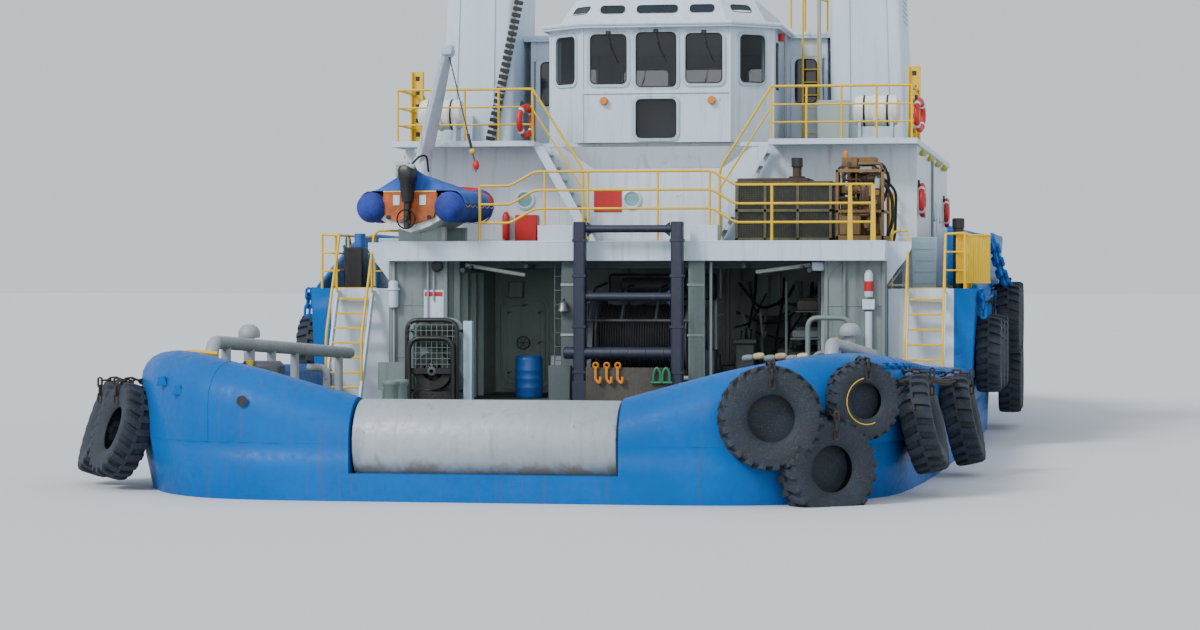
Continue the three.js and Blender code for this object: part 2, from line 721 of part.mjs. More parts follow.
// Roof with its raised middle over the bay
function makeWheelhouseRoof() {
  const slab = prism('z', [
    [-3420, 2280], [-2520, 2280], [-2520, -210], [-1610, -1040], [1610, -1040], [2520, -210], [2520, 2280],
    [3420, 2280], [3420, 6340], [2360, 7730], [-2360, 7730], [-3420, 6340],
  ], eavesZ + gap, eavesZ + 110);
  const top = toSolid(loft([
    // half of the body, half of the bay, after end of each, forward end, height
    [2250, 1480, -60, -780, 6200, eavesZ + 60],
    [1900, 1250, 300, -300, 5700, 9300],
  ].map(([wide, narrow, y, bayY, fore, z]) => [
    [-wide, y, z], [-narrow, bayY, z], [narrow, bayY, z], [wide, y, z], [wide, fore, z], [-wide, fore, z],
  ])));
  return slab.add(top);
}

// Consoles seen through the wheelhouse windows
function makeConsoles() {
  const floor = bridgeDeckZ + gap;
  const aft = box([-1100, -640, floor], [1100, -140, 7150]);
  const fore = box([-2000, 6600, floor], [2000, 7300, 7250]);
  const spine = box([-150, -200, floor], [150, 6700, 6260]);
  return join([aft, fore, spine]);
}

// Funnel, leaning a little inboard toward its top
function makeFunnel(side) {
  const rings = [
    // inner x, outer x, aft y, forward y, z
    [3480, 5120, 1150, 3900, bridgeDeckZ + gap],
    [3430, 4900, 1250, 3800, 10600],
  ];
  const body = toSolid(loft(rings.map(([inner, outer, aft, fore, z]) => [
    [side * inner, aft, z], [side * outer, aft, z], [side * outer, fore, z], [side * inner, fore, z],
  ])));
  const stacks = [[2000, 170], [3000, 210]].map(([y, radius]) =>
    bar([side * 4150, y, 10500], [side * 4150, y - 150, 11350], radius, 12));
  return join([body, ...stacks]);
}

// Mast over the wheelhouse, with the shelf that carries the radar clear of its legs
const radarY = 3550;
const radarZ = 11000;

function makeMast() {
  const foot = 9300 + gap;
  const poleY = 1900;
  const legs = [[-500, 1500], [500, 1500], [0, 2900]].map(([x, y]) =>
    bar([x, y, foot], [0, poleY, 12200], 70, 8));
  const pole = bar([0, poleY, 10720], [0, poleY, 14200], 60, 8);
  const yards = [[11300, 900], [12800, 1200]].map(([z, half]) =>
    bar([-half, poleY, z], [half, poleY, z], 35, 6));
  const shelf = box([-350, poleY - 200, 10700], [350, radarY + 250, 10760]);
  const bracket = strut([0, 2650, 9900], [0, radarY, 10730], 90);
  const radarPost = bar([0, radarY, 10700], [0, radarY, radarZ], 110, 8);
  const roofLine = box([-700, 1300, foot - 200], [700, 3100, foot]);
  return join([...legs, pole, ...yards, shelf, bracket, radarPost]).subtract(roofLine);
}

function makeRadar() {
  return join([bar([0, 0, gap], [0, 0, 120], 60, 8), box([-900, -70, 110], [900, 70, 250])]);
}

// Rail: posts on a row of corners with level pipes between them
function rail(corners, base, height, levels, postEvery = 1500, radius = railPipe) {
  const shapes = [];
  corners.slice(1).forEach(([x1, y1], i) => {
    const [x0, y0] = corners[i];
    levels.forEach((level) => {
      const z = base + height * level;
      shapes.push(strut([x0, y0, z], [x1, y1, z], 2 * radius));
    });
    const length = Math.hypot(x1 - x0, y1 - y0);
    const bays = Math.max(1, Math.round(length / postEvery));
    for (let b = i === 0 ? 0 : 1; b <= bays; b += 1) {
      const t = b / bays;
      const x = x0 + (x1 - x0) * t;
      const y = y0 + (y1 - y0) * t;
      const top = base + height + radius;
      shapes.push(box([x - radius, y - radius, base + gap], [x + radius, y + radius, top]));
    }
  });
  return join(shapes);
}

// Boat deck rail: places along the deck edge where it bends, with the height of its top
const boatRailY = -4200;
const boatRailBends = [
  // x, top
  [-3080, 5200], [-2460, 5200], [-1960, 5480], [1600, 5480], [2060, 5200], [4780, 5200],
];
const boatRailPosts = [
  // x, foot, radius
  [-3080, boatDeckZ, 32], [-1760, boatDeckZ + 330, 24], [-880, boatDeckZ, 24], [520, boatDeckZ, 24],
  [1560, boatDeckZ + 330, 24], [2790, boatDeckZ, 32], [4330, boatDeckZ, 45], [4780, boatDeckZ, 45],
];

function makeBoatDeckRail() {
  const y = boatRailY;
  const pipeRadius = 24;
  const topAt = (x) => {
    const i = boatRailBends.findIndex(([bend]) => bend >= x);
    if (i < 1) return boatRailBends[0][1];
    const [[x0, z0], [x1, z1]] = [boatRailBends[i - 1], boatRailBends[i]];
    return z0 + (z1 - z0) * (x - x0) / (x1 - x0);
  };
  const lines = [0, 370, 740].flatMap((drop) => boatRailBends.slice(1).map(([x, z], i) => {
    const [x0, z0] = boatRailBends[i];
    return strut([x0 - 20, y, z0 - drop], [x + 20, y, z - drop], 2 * pipeRadius);
  }));
  const posts = boatRailPosts.map(([x, foot, radius]) =>
    box([x - radius, y - radius, foot + gap], [x + radius, y + radius, topAt(x) + pipeRadius]));
  return join([...lines, ...posts]);
}

// Rail on the side deck beside the ladder head, with a plated panel to starboard that faces aft
const sideRail = { x: 6530, aft: -3440, fore: 900, base: forecastleZ };
const sidePanel = { from: [6360, -3420], to: [6880, -3050], middle: 3740, thick: 24, height: 940 };

function makeSideRail(side) {
  const { x, aft, fore, base } = sideRail;
  const open = rail([[side * x, aft], [side * x, fore]], base, railHeight, [1, 0.66, 0.33], 1100, 25);
  const top = base + railHeight;
  const toLadder = strut([side * x, aft, top], [side * 6150, aft - 60, top - 20], 50);
  if (side < 0) return join([open, toLadder]);
  const { from, to, middle, thick, height } = sidePanel;
  return join([open, toLadder, strut([...from, middle], [...to, middle], thick, height)]);
}

// Bridge deck rail, with the handrails that run down beside one stair
function makeBridgeRail(side) {
  const level = rail([[side * 2500, -1600], [side * 5380, -1600], [side * 5380, 900]],
    bridgeDeckZ, railHeight, [1, 0.66, 0.33]);
  const outside = { y: -1606, top: bridgeDeckZ + railHeight, foot: 5620, footX: 1430 };
  const handrails = [0, 420].map((drop) => strut([side * 2500, outside.y, outside.top - drop],
    [side * outside.footX, outside.y, outside.foot - drop], 2 * railPipe));
  const post = box([side * outside.footX - railPipe, outside.y - railPipe, boatDeckZ + gap],
    [side * outside.footX + railPipe, outside.y + railPipe, outside.foot + railPipe]);
  return join([level, ...handrails, post]);
}

// Inclined ladder up to the side deck, with its handrails
function makeLadder(side) {
  const x0 = side * 5400;
  const x1 = side * 6180;
  const [near, far] = [Math.min(x0, x1), Math.max(x0, x1)];
  const foot = [-4700, deckZ + gap];
  const head = [-3560, forecastleZ - 40];
  const strings = [near, far - 50].map((x) => prism('x', [
    [foot[0] - 90, foot[1]], [foot[0] + 90, foot[1]], [head[0] + 50, head[1]], [head[0] - 130, head[1]],
  ], x, x + 50));
  const rungs = [1, 2, 3, 4, 5, 6, 7].map((step) => {
    const t = step / 7.6;
    const y = foot[0] + (head[0] - foot[0]) * t;
    const z = foot[1] + (head[1] - foot[1]) * t;
    return box([near + 20, y - 90, z - 20], [far - 20, y + 90, z + 20]);
  });
  const handrails = [near + 25, far - 25].map((x) => join([
    strut([x, -4560, 1150], [x, -4560, 2200], 50),
    strut([x, -4560, 2180], [x, -3500, 4230], 50),
    strut([x, -3700, 2870], [x, -3700, 3850], 50),
  ]));
  return join([...strings, ...rungs, ...handrails]);
}

// Heavy pipe rail along the working deck, with a mushroom vent beside it
const crashRail = { x: 5000, radius: 110, afterEnd: -16100, fore: -7200, top: 2340, foreTop: 1930 };
const crashPost = 80;
const crashPosts = [-15300, -13900, -11100, -8000];
const vents = {
  port: { x: -5400, y: -12600, top: 2440 },
  starboard: { x: 4740, y: -9300, top: 2440 },
};

function makeCrashRail(name, side) {
  const { radius, afterEnd, fore, top, foreTop } = crashRail;
  const x = side * crashRail.x;
  const low = deckZ + gap;
  const heightAt = (y) => top + (foreTop - top) * (y - afterEnd) / (fore - afterEnd);
  const along = pipe([
    [x, afterEnd, low], [x, afterEnd, top - 170], [x, afterEnd + 170, top], [x, fore, foreTop],
  ], radius, 8);
  const vent = vents[name];
  const posts = [...crashPosts, vent.y].map((y) => bar([x, y, low], [x, y, heightAt(y)], crashPost, 8));
  const [pipeRadius, capRadius, capEdge, brace] = [95, 190, 110, 40];
  const capZ = vent.top - capEdge;
  return join([
    along,
    ...posts,
    bar([vent.x, vent.y, low], [vent.x, vent.y, vent.top], pipeRadius, 10),
    bar([vent.x, vent.y, capZ], [vent.x, vent.y, vent.top], capRadius, 12),
    bar([vent.x, vent.y, vent.top - 10], [vent.x, vent.y, vent.top + 120], capRadius, 12, 90),
    box([Math.min(x, vent.x), vent.y - brace, 1500], [Math.max(x, vent.x), vent.y + brace, 1580]),
  ]);
}

// Hose reel: two round-topped frames and the reel between them
const reel = { x: -3990, z: 1500 };
const reelAxle = 35;

function makeReelFrame() {
  const arch = (half, top, y0, y1, thick) => {
    const outer = [[-half, deckZ + gap], [-half, top - 250], [-half + 90, top - 70], [-half + 260, top],
      [half - 260, top], [half - 90, top - 70], [half, top - 250], [half, deckZ + gap]];
    const inner = [[half - thick, deckZ + gap], [half - thick, top - 280], [half - 300, top - thick],
      [-half + 300, top - thick], [-half + thick, top - 280], [-half + thick, deckZ + gap]];
    return prism('y', [...outer, ...inner].map(([a, z]) => [reel.x + a, z]), y0, y1);
  };
  const front = arch(560, 2560, -4560, -4480, 80);
  const back = arch(560, 2560, -4060, -3980, 80);
  const ties = [[-520, 2300], [520, 2300], [-520, 1100], [520, 1100]].map(([a, z]) =>
    box([reel.x + a - 30, -4500, z - 30], [reel.x + a + 30, -4000, z + 30]));
  const bearings = [[-4560, -4480], [-4060, -3980]].map(([y0, y1]) =>
    box([reel.x - 540, y0, reel.z - 60], [reel.x + 540, y1, reel.z + 60]));
  const hole = bore([reel.x, -4700, reel.z], [reel.x, -3900, reel.z], reelAxle);
  return join([front, back, ...ties, ...bearings]).subtract(hole);
}

function makeReel() {
  const discs = [-180, 150].map((y) => bar([0, y, 0], [0, y + 30, 0], 380, 16));
  const core = bar([0, -160, 0], [0, 160, 0], 240, 12);
  const axle = bar([0, -285, 0], [0, 285, 0], reelAxle, 12);
  return join([core, axle, ...discs]);
}

// Rescue boat: two tubes that meet at the bow, round a shallow hull
const boat = { x: -4200, y: -3300, z: 4770, yaw: -8 };

function makeBoat() {
  const tubeRadius = 300;
  const tube = [[-830, -1400], [-830, 400], [-620, 950], [0, 1250], [620, 950], [830, 400], [830, -1400]];
  const collar = pipe(tube.map(([x, y]) => [x, y, 0]), tubeRadius, 10);
  const floor = toSolid(boatFloor());
  const outboard = [
    box([-130, -1750, 60], [130, -1300, 560]),
    box([-60, -1620, -450], [60, -1460, 100]),
  ];
  return join([collar, floor, toSolid(boatCover()), ...outboard]);
}

// Cover stretched from tube to tube over a ridge
function boatCover() {
  const tubeTop = 285;
  return loft([
    // y, half-breadth, ridge
    [-1250, 830, 760], [-200, 830, 620], [400, 830, 480], [850, 660, 340],
  ].map(([y, half, ridge]) => [
    [-half, y, 0], [-half, y, tubeTop], [0, y, ridge], [half, y, tubeTop], [half, y, 0],
  ]));
}

function boatFloor(lift = 0) {
  return loft([
    [[-700, -1350, 120], [-700, -1350, -220], [0, -1350, -520], [700, -1350, -220], [700, -1350, 120]],
    [[-700, 500, 120], [-700, 500, -180], [0, 500, -480], [700, 500, -180], [700, 500, 120]],
    [[-200, 1150, 120], [-200, 1150, 0], [0, 1150, -60], [200, 1150, 0], [200, 1150, 120]],
  ].map((ring) => ring.map(([x, y, z]) => [x, y, z + lift])));
}

function makeCradle() {
  const low = boatDeckZ - boat.z + gap;
  const chocks = [-700, 500].map((y) => box([-500, y - 60, low], [500, y + 60, -380]));
  const hullBelow = toSolid(boatFloor(-gap));
  return join([...chocks, box([-60, -750, low], [60, 560, low + 80])]).subtract(hullBelow);
}

// Davit arm, which slews on the post, with its fall slanting to the boat
const davitHead = [770, -1050, 2630];
const davitHook = [1370, -1100, 240];

function makeDavitArm() {
  const around = ([x, y, z], [halfX, halfY, halfZ]) =>
    box([x - halfX, y - halfY, z - halfZ], [x + halfX, y + halfY, z + halfZ]);
  return join([
    bar([0, 0, 0], [0, 0, 500], 190, 12),
    strut([0, 0, 350], davitHead, 300, 240),
    around(davitHead, [130, 130, 120]),
    bar(davitHead, davitHook, 18, 6),
    around(davitHook, [70, 60, 130]),
  ]);
}

// Machinery on the boat deck
function makeCoveredBox() {
  return box([1900, -3700, boatDeckZ + gap], [3960, -2000, 5280]);
}

function makePowerPack() {
  return join([
    box([4000, -3700, boatDeckZ + gap], [4960, -2100, 5500]),
    box([4100, -3500, 5480], [4800, -2400, 5760]),
  ]);
}

// Life raft canister on its cradle
function makeRaft(side) {
  const x = side * 4600;
  const body = bar([x - 480, -850, 6820], [x + 480, -850, 6820], 320, 14);
  const legs = [-330, 330].map((dx) =>
    box([x + dx - 50, -1050, bridgeDeckZ + gap], [x + dx + 50, -650, 6600]));
  return join([body, ...legs]);
}

function makeWindlassBase() {
  const cheeks = [-900, -300, 300, 900].map((x) => {
    const cheek = prism('x', [[14300, 3100], [15300, 3100], [15100, 4250], [14500, 4250]], x - 60, x + 60);
    return cheek.subtract(bore([x - 80, 14800, 4000], [x + 80, 14800, 4000], 80));
  });
  const bed = box([-1100, 14200, 3100], [1100, 15400, 3450]);
  const deck = toSolid(loft(forecastleStations.map(([y, low, high, top]) => [
    [low, y, deckZ], [high, y, top + gap], [-high, y, top + gap], [-low, y, deckZ],
  ])));
  return join([bed, ...cheeks]).subtract(deck);
}

function makeWindlassDrum() {
  const axle = bar([-1350, 0, 0], [1350, 0, 0], 80, 12);
  const gypsies = [-600, 600].map((x) => bar([x - 160, 0, 0], [x + 160, 0, 0], 380, 14));
  const heads = [-1, 1].map((s) => bar([s * 1000, 0, 0], [s * 1350, 0, 0], 240, 12));
  return join([axle, ...gypsies, ...heads]);
}

// Twin bollard on a base plate
function makeBollards(x, y, z) {
  const posts = [-350, 350].map((dy) => join([
    bar([x, y + dy, z + 30], [x, y + dy, z + 620], 130, 12),
    bar([x, y + dy, z + 600], [x, y + dy, z + 660], 160, 12),
  ]));
  return join([box([x - 220, y - 600, z + gap], [x + 220, y + 600, z + 50]), ...posts]);
}

// Round rubber fender across the bow, laid against the shell
function makeBowFender() {
  const z = 2500;
  const half = [[5560, 15000], [4640, 16500], [3280, 18000], [2000, 19000], [700, 19600]];
  const starboard = half.map(([x, y]) => [x, y, z]);
  const line = [...starboard, ...mirrored(starboard).reverse()];
  const shells = [forecastleShell(), stemShell()].map((shell) => toSolid(shell.translate(0, 2 * gap, 0)));
  return cut(pipe(line, 330, 10), shells);
}

// The hull and what is fixed to it
add('hull', makeHull(), hullBlue);
add('keel', makeKeel(), hullBlue);
makeForecastle().forEach(([name, block]) => add(name, block, hullBlue));
add('bow_bulwark', makeBowBulwark(), hullBlue);
sides.forEach(([name, s]) => add(`stern_bulwark_${name}`, makeSternBulwark(s), hullBlue));
add('stern_roller', makeRoller(), sternGrey, [0, rollerY, rollerZ]);
sides.forEach(([name, s]) => {
  add(`nozzle_${name}`, makeNozzle(s), hullBlue);
  add(`propeller_${name}`, makePropeller(s), bronze, [s * propX, propY, propZ]);
  add(`rudder_${name}`, makeRudder(), hullBlue, [s * propX, rudderY, 0]);
});

// Tyre fenders
sides.forEach(([name, s]) => {
  add(`quarter_tyres_${name}`, makeQuarterTyres(quarterTyres[name], s), rubber);
  add(`side_tyres_${name}`, makeSideTyres(s), rubber);
});

// Working deck and shelter
add('shelter_walls', makeShelterWalls(), casingGrey);
const [shelterDoorX, shelterWallY, shelterDoorZ] = shelterDoor.at;
add('shelter_door', makeDoor(shelterDoor.width, shelterDoor.height, 1), casingGrey,
  [shelterDoorX, shelterWallY - hinge.out, shelterDoorZ]);
add('tow_frame', makeTowFrame(), frameDark);
add('winch_base', makeWinchBase(), frameDark);
add('winch_drum', makeWinchDrum(), frameDark, [0, winch.y, winch.z]);
add('reel_frame', makeReelFrame(), deckGreen);
add('hose_reel', makeReel(), engineBlack, [reel.x, -4270, reel.z]);
add('barrel', bar([-2500, -2000, deckZ + gap], [-2500, -2000, deckZ + 880], 290, 16), barrelBlue);
sides.forEach(([name, s]) => {
  add(`crash_rail_${name}`, makeCrashRail(name, s), pipeGrey);
});

// Decks and houses
add('boat_deck', makeBoatDeck(), houseWhite);
add('house', makeHouse(), houseWhite);
add('bridge_deck', makeBridgeDeck(), houseWhite);
sides.forEach(([name, s]) => {
  add(`stairs_${name}`, makeStairs(s), houseWhite);
  add(`funnel_${name}`, makeFunnel(s), houseWhite);
  add(`raft_${name}`, makeRaft(s), houseWhite);
});
add('wheelhouse_walls', makeWheelhouseWalls(), houseWhite);
add('wheelhouse_roof', makeWheelhouseRoof(), houseWhite);
add('wheelhouse_consoles', makeConsoles(), engineBlack);
sides.forEach(([name, s]) => {
  add(`wheelhouse_door_${name}`, makeDoor(bridgeDoor.width, bridgeDoor.height, -s), casingGrey,
    [s * bridgeDoor.x, bridgeDoor.y - hinge.out, bridgeDoor.z]);
});
add('mast', makeMast(), houseWhite);
add('radar_scanner', makeRadar(), houseWhite, [0, radarY, radarZ]);

// Rails
add('boat_deck_rail', makeBoatDeckRail(), railYellow);
sides.forEach(([name, s]) => {
  add(`bridge_rail_${name}`, makeBridgeRail(s), railYellow);
  add(`ladder_${name}`, makeLadder(s).add(makeSideRail(s)), railYellow);
});

// Boat, davit and machinery on the boat deck
const boatYaw = THREE.MathUtils.degToRad(boat.yaw);
add('rescue_boat', makeBoat(), boatBlue, [boat.x, boat.y, boat.z], [0, 0, boatYaw]);
add('boat_cradle', makeCradle(), casingGrey, [boat.x, boat.y, boat.z], [0, 0, boatYaw]);
add('davit_arm', makeDavitArm(), casingGrey, [davit.x, davit.y, davit.z]);
add('covered_box', makeCoveredBox(), olive);
add('power_pack', makePowerPack(), ochre);

// Foredeck
add('windlass_base', makeWindlassBase(), deckGreen);
add('windlass_drum', makeWindlassDrum(), deckGreen, [0, 14800, 4000]);
sides.forEach(([name, s]) => add(`bollards_${name}`, makeBollards(s * 3300, -10500, deckZ), deckGreen));
add('bow_fender', makeBowFender(), rubber);

export default tug;
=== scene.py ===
# Looks of the harbour tug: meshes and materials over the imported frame. Metres, +X starboard, +Y forward, +Z up.
import math
import random

import bmesh
import bpy
from mathutils import Matrix, Vector


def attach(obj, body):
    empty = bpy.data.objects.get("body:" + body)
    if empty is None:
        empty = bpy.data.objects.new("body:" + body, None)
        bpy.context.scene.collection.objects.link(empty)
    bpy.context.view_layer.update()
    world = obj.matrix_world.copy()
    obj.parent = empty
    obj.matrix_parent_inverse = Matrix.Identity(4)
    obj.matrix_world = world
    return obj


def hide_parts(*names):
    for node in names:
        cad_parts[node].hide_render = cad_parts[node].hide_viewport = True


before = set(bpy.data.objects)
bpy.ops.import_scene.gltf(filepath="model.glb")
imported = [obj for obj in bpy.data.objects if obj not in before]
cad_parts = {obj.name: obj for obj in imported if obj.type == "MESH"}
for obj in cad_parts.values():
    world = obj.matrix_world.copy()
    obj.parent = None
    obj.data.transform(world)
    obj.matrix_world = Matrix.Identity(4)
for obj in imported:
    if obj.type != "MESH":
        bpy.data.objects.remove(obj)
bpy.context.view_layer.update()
scene = bpy.context.scene
rng = random.Random(7)
SIDES = ((-1, "port"), (1, "starboard"))

# Heights over the water of the decks and of the wheelhouse's eaves
DECK, SIDE_DECK, BOAT_DECK, BRIDGE_DECK, EAVES_Z = 0.87, 3.15, 4.08, 6.2, 8.68

# Camera where the photograph was taken from, low over the water astern: place, downward tilt and turn in radians
CAMERA_AT, CAMERA_TILT, CAMERA_TURN, CAMERA_LENS = (8.97, -61.7, 3.4), 0.0133, 0.16559, 87.96
camera = bpy.data.objects.new("camera", bpy.data.cameras.new("camera"))
camera.data.sensor_width = 36
camera.data.lens = CAMERA_LENS
camera.data.clip_end = 2000
camera.location = CAMERA_AT
camera.rotation_euler = (math.pi / 2 - CAMERA_TILT, 0, CAMERA_TURN)
scene.collection.objects.link(camera)
scene.camera = camera


# Materials

def srgb(r, g, b):
    def linear(c):
        c /= 255
        return c / 12.92 if c <= 0.04045 else ((c + 0.055) / 1.055) ** 2.4
    return (linear(r), linear(g), linear(b), 1)


class Shader:
    """A principled material with a few helpers for its noise."""

    def __init__(self, name):
        self.material = bpy.data.materials.new(name)
        self.material.use_nodes = True
        self.tree = self.material.node_tree
        self.bsdf = self.tree.nodes["Principled BSDF"]
        self.coord = self.tree.nodes.new("ShaderNodeTexCoord").outputs["Object"]

    def node(self, kind, **settings):
        made = self.tree.nodes.new("ShaderNode" + kind)
        for key, value in settings.items():
            setattr(made, key, value)
        return made

    def link(self, a, b):
        self.tree.links.new(a, b)

    def feed(self, sockets, values):
        """Gives each socket its value, or links it where the value is another node's output."""
        for socket, value in zip(sockets, values):
            if hasattr(value, "is_linked"):
                self.link(value, socket)
            else:
                socket.default_value = value

    def noise(self, scale, detail=4, rough=0.55, stretch=(1, 1, 1), offset=0):
        mapping = self.node("Mapping")
        mapping.inputs["Scale"].default_value = stretch
        mapping.inputs["Location"].default_value = (offset, offset * 0.7, offset * 1.3)
        self.link(self.coord, mapping.inputs["Vector"])
        tex = self.node("TexNoise")
        self.feed([tex.inputs[key] for key in ("Scale", "Detail", "Roughness")], (scale, detail, rough))
        self.link(mapping.outputs["Vector"], tex.inputs["Vector"])
        return tex.outputs["Fac"]

    def range(self, value, low, high, out_low=0.0, out_high=1.0):
        made = self.node("MapRange", interpolation_type="SMOOTHSTEP")
        keys = ("Value", "From Min", "From Max", "To Min", "To Max")
        self.feed([made.inputs[key] for key in keys], (value, low, high, out_low, out_high))
        return made.outputs["Result"]

    def math(self, op, a, b):
        made = self.node("Math", operation=op)
        self.feed(made.inputs, (a, b))
        return made.outputs[0]

    def mix(self, fac, a, b):
        made = self.node("Mix", data_type="RGBA")
        self.feed([made.inputs[key] for key in ("Factor", "A", "B")], (fac, a, b))
        return made.outputs["Result"]

    def axis(self, name, vector=None):
        made = self.node("SeparateXYZ")
        self.link(vector or self.coord, made.inputs[0])
        return made.outputs[name]

    def bump(self, height, strength, distance=0.02):
        made = self.node("Bump")
        made.inputs["Strength"].default_value = strength
        made.inputs["Distance"].default_value = distance
        self.link(height, made.inputs["Height"])
        self.link(made.outputs["Normal"], self.bsdf.inputs["Normal"])


def shade(color, factor):
    return tuple(min(1, c * factor) for c in color[:3]) + (1,)


RUST = srgb(122, 72, 38)
GRIME = srgb(92, 84, 70)


def paint(name, rgb, rough=0.45, metal=0.0, vary=0.1, streaks=0.0, rust=0.0, scuffs=0.0, grain=1.0, bump=0.12,
          grime=GRIME, scale=1.0, waterline=None, shade_under_deck=False, coating=None):
    """Paint on steel: slow tint changes, runs of dirt down the plate, rust spots, scuffs and a slight ripple, and
    where asked a painted shade on the walls under the boat deck.

    A coating is the colour of the faces that look up, as on a deck."""
    s = Shader(name)
    color = srgb(*rgb)
    slow = s.noise(0.45 * scale, 5, 0.6)
    base = s.mix(s.range(slow, 0.3, 0.7), shade(color, 1 - vary), shade(color, 1 + vary))
    fine = s.noise(9 * scale, 6, 0.65, offset=3)
    base = s.mix(s.range(fine, 0.35, 0.75, 0, 0.35), base, shade(color, 1 - 1.6 * vary))
    wear = s.noise(2.6 * scale, 10, 0.68, offset=11)
    if streaks:
        runs = s.noise(3.2 * scale, 8, 0.6, (2.2, 2.2, 0.16), offset=5)
        where = s.math("MULTIPLY", s.range(runs, 0.5, 0.72), s.range(slow, 0.25, 0.6))
        base = s.mix(s.math("MULTIPLY", where, streaks), base, grime)
    if scuffs:
        rub = s.noise(2.4 * scale, 9, 0.7, (0.5, 0.5, 3.2), offset=17)
        base = s.mix(s.range(rub, 0.6, 0.74, 0, scuffs), base, shade(color, 0.42))
        light = s.noise(3.1 * scale, 9, 0.75, (0.7, 0.7, 2.4), offset=29)
        base = s.mix(s.range(light, 0.64, 0.76, 0, 0.5 * scuffs), base, srgb(170, 190, 205))
    rust_mask = None
    if rust:
        rust_mask = s.range(wear, 0.67 - 0.09 * rust, 0.74 - 0.05 * rust, 0, min(1, 0.55 + rust))
        base = s.mix(rust_mask, base, RUST)
    if waterline is not None:
        wet = s.range(s.math("ADD", s.axis("Z"), s.range(wear, 0.3, 0.7, -0.12, 0.12)), waterline, waterline + 0.2,
                      0.75, 0)
        base = s.mix(wet, base, srgb(128, 118, 92))
    if shade_under_deck:
        # Painted shade on the walls under the boat deck, less of it inside the bay, where the real shadow is dark
        # enough
        below = s.range(s.axis("Z"), 3.66, 3.72, 1, 0)
        across = s.math("ABSOLUTE", s.axis("X"), 0)
        casing = s.math("MULTIPLY", below, s.range(across, 5.1, 5.2, 0.56, 0))
        bay = s.math("MULTIPLY", below, s.range(across, 3.8, 3.86, 0.5, 0))
        inside = s.math("MULTIPLY", bay, s.range(s.axis("Y"), -3.86, -3.7, 0, 1))
        base = s.mix(s.math("SUBTRACT", casing, inside), base, srgb(48, 60, 72))
    if coating:
        upward = s.math("GREATER_THAN", s.axis("Z", s.node("NewGeometry").outputs["True Normal"]), 0.9)
        coat = s.mix(s.noise(6, 8, 0.5), shade(srgb(*coating), 0.7), shade(srgb(*coating), 1.25))
        base = s.mix(upward, base, coat)
    s.link(base, s.bsdf.inputs["Base Color"])
    s.link(s.range(fine, 0.3, 0.8, rough - 0.08, min(1, rough + 0.16)), s.bsdf.inputs["Roughness"])
    s.bsdf.inputs["Metallic"].default_value = metal
    ripple = s.math("ADD", s.math("MULTIPLY", s.noise(1.1, 2, 0.4, offset=41), 1.0),
                    s.math("MULTIPLY", s.noise(26 * grain, 4, 0.6), 0.10))
    if rust_mask is not None:
        ripple = s.math("ADD", ripple, s.math("MULTIPLY", rust_mask, -0.08))
    s.bump(ripple, bump, 0.05)
    return s.material


def rubber(name, rgb, dust=0.5):
    s = Shader(name)
    color = srgb(*rgb)
    cloud = s.noise(3.0, 8, 0.65)
    base = s.mix(s.range(cloud, 0.35, 0.7), shade(color, 0.6), shade(color, 1.5))
    grit = s.noise(38, 5, 0.7, offset=4)
    base = s.mix(s.range(grit, 0.52, 0.7, 0, dust), base, srgb(120, 118, 112))
    s.link(base, s.bsdf.inputs["Base Color"])
    s.link(s.range(cloud, 0.3, 0.7, 0.62, 0.92), s.bsdf.inputs["Roughness"])
    s.bump(s.math("ADD", s.math("MULTIPLY", grit, 0.35), cloud), 0.35, 0.02)
    return s.material


def cloth(name, rgb, rgb2, weave=240, rough=0.9):
    """Weathered fabric: a woven bump, creases and faded patches."""
    s = Shader(name)
    cloud = s.noise(2.2, 8, 0.62)
    base = s.mix(s.range(cloud, 0.35, 0.68), srgb(*rgb), srgb(*rgb2))
    spots = s.noise(7, 9, 0.7, (1, 1, 0.4), offset=9)
    base = s.mix(s.range(spots, 0.58, 0.74, 0, 0.6), base, shade(srgb(*rgb), 0.45))
    s.link(base, s.bsdf.inputs["Base Color"])
    s.bsdf.inputs["Roughness"].default_value = rough
    waves = []
    for direction in ("X", "Z"):
        wave = s.node("TexWave", bands_direction=direction)
        wave.inputs["Scale"].default_value = weave / 6
        wave.inputs["Distortion"].default_value = 1.5
        s.link(s.coord, wave.inputs["Vector"])
        waves.append(wave.outputs["Fac"])
    s.bump(s.math("ADD", s.math("MULTIPLY", s.math("ADD", *waves), 0.06), cloud), 0.4, 0.02)
    return s.material


def glass(name, rgb, alpha):
    s = Shader(name)
    film = s.noise(3, 6, 0.6, (1, 1, 0.5))
    s.link(s.mix(s.range(film, 0.4, 0.8, 0, 0.5), srgb(*rgb), shade(srgb(*rgb), 1.8)), s.bsdf.inputs["Base Color"])
    s.bsdf.inputs["Roughness"].default_value = 0.06
    s.bsdf.inputs["Alpha"].default_value = alpha
    return s.material


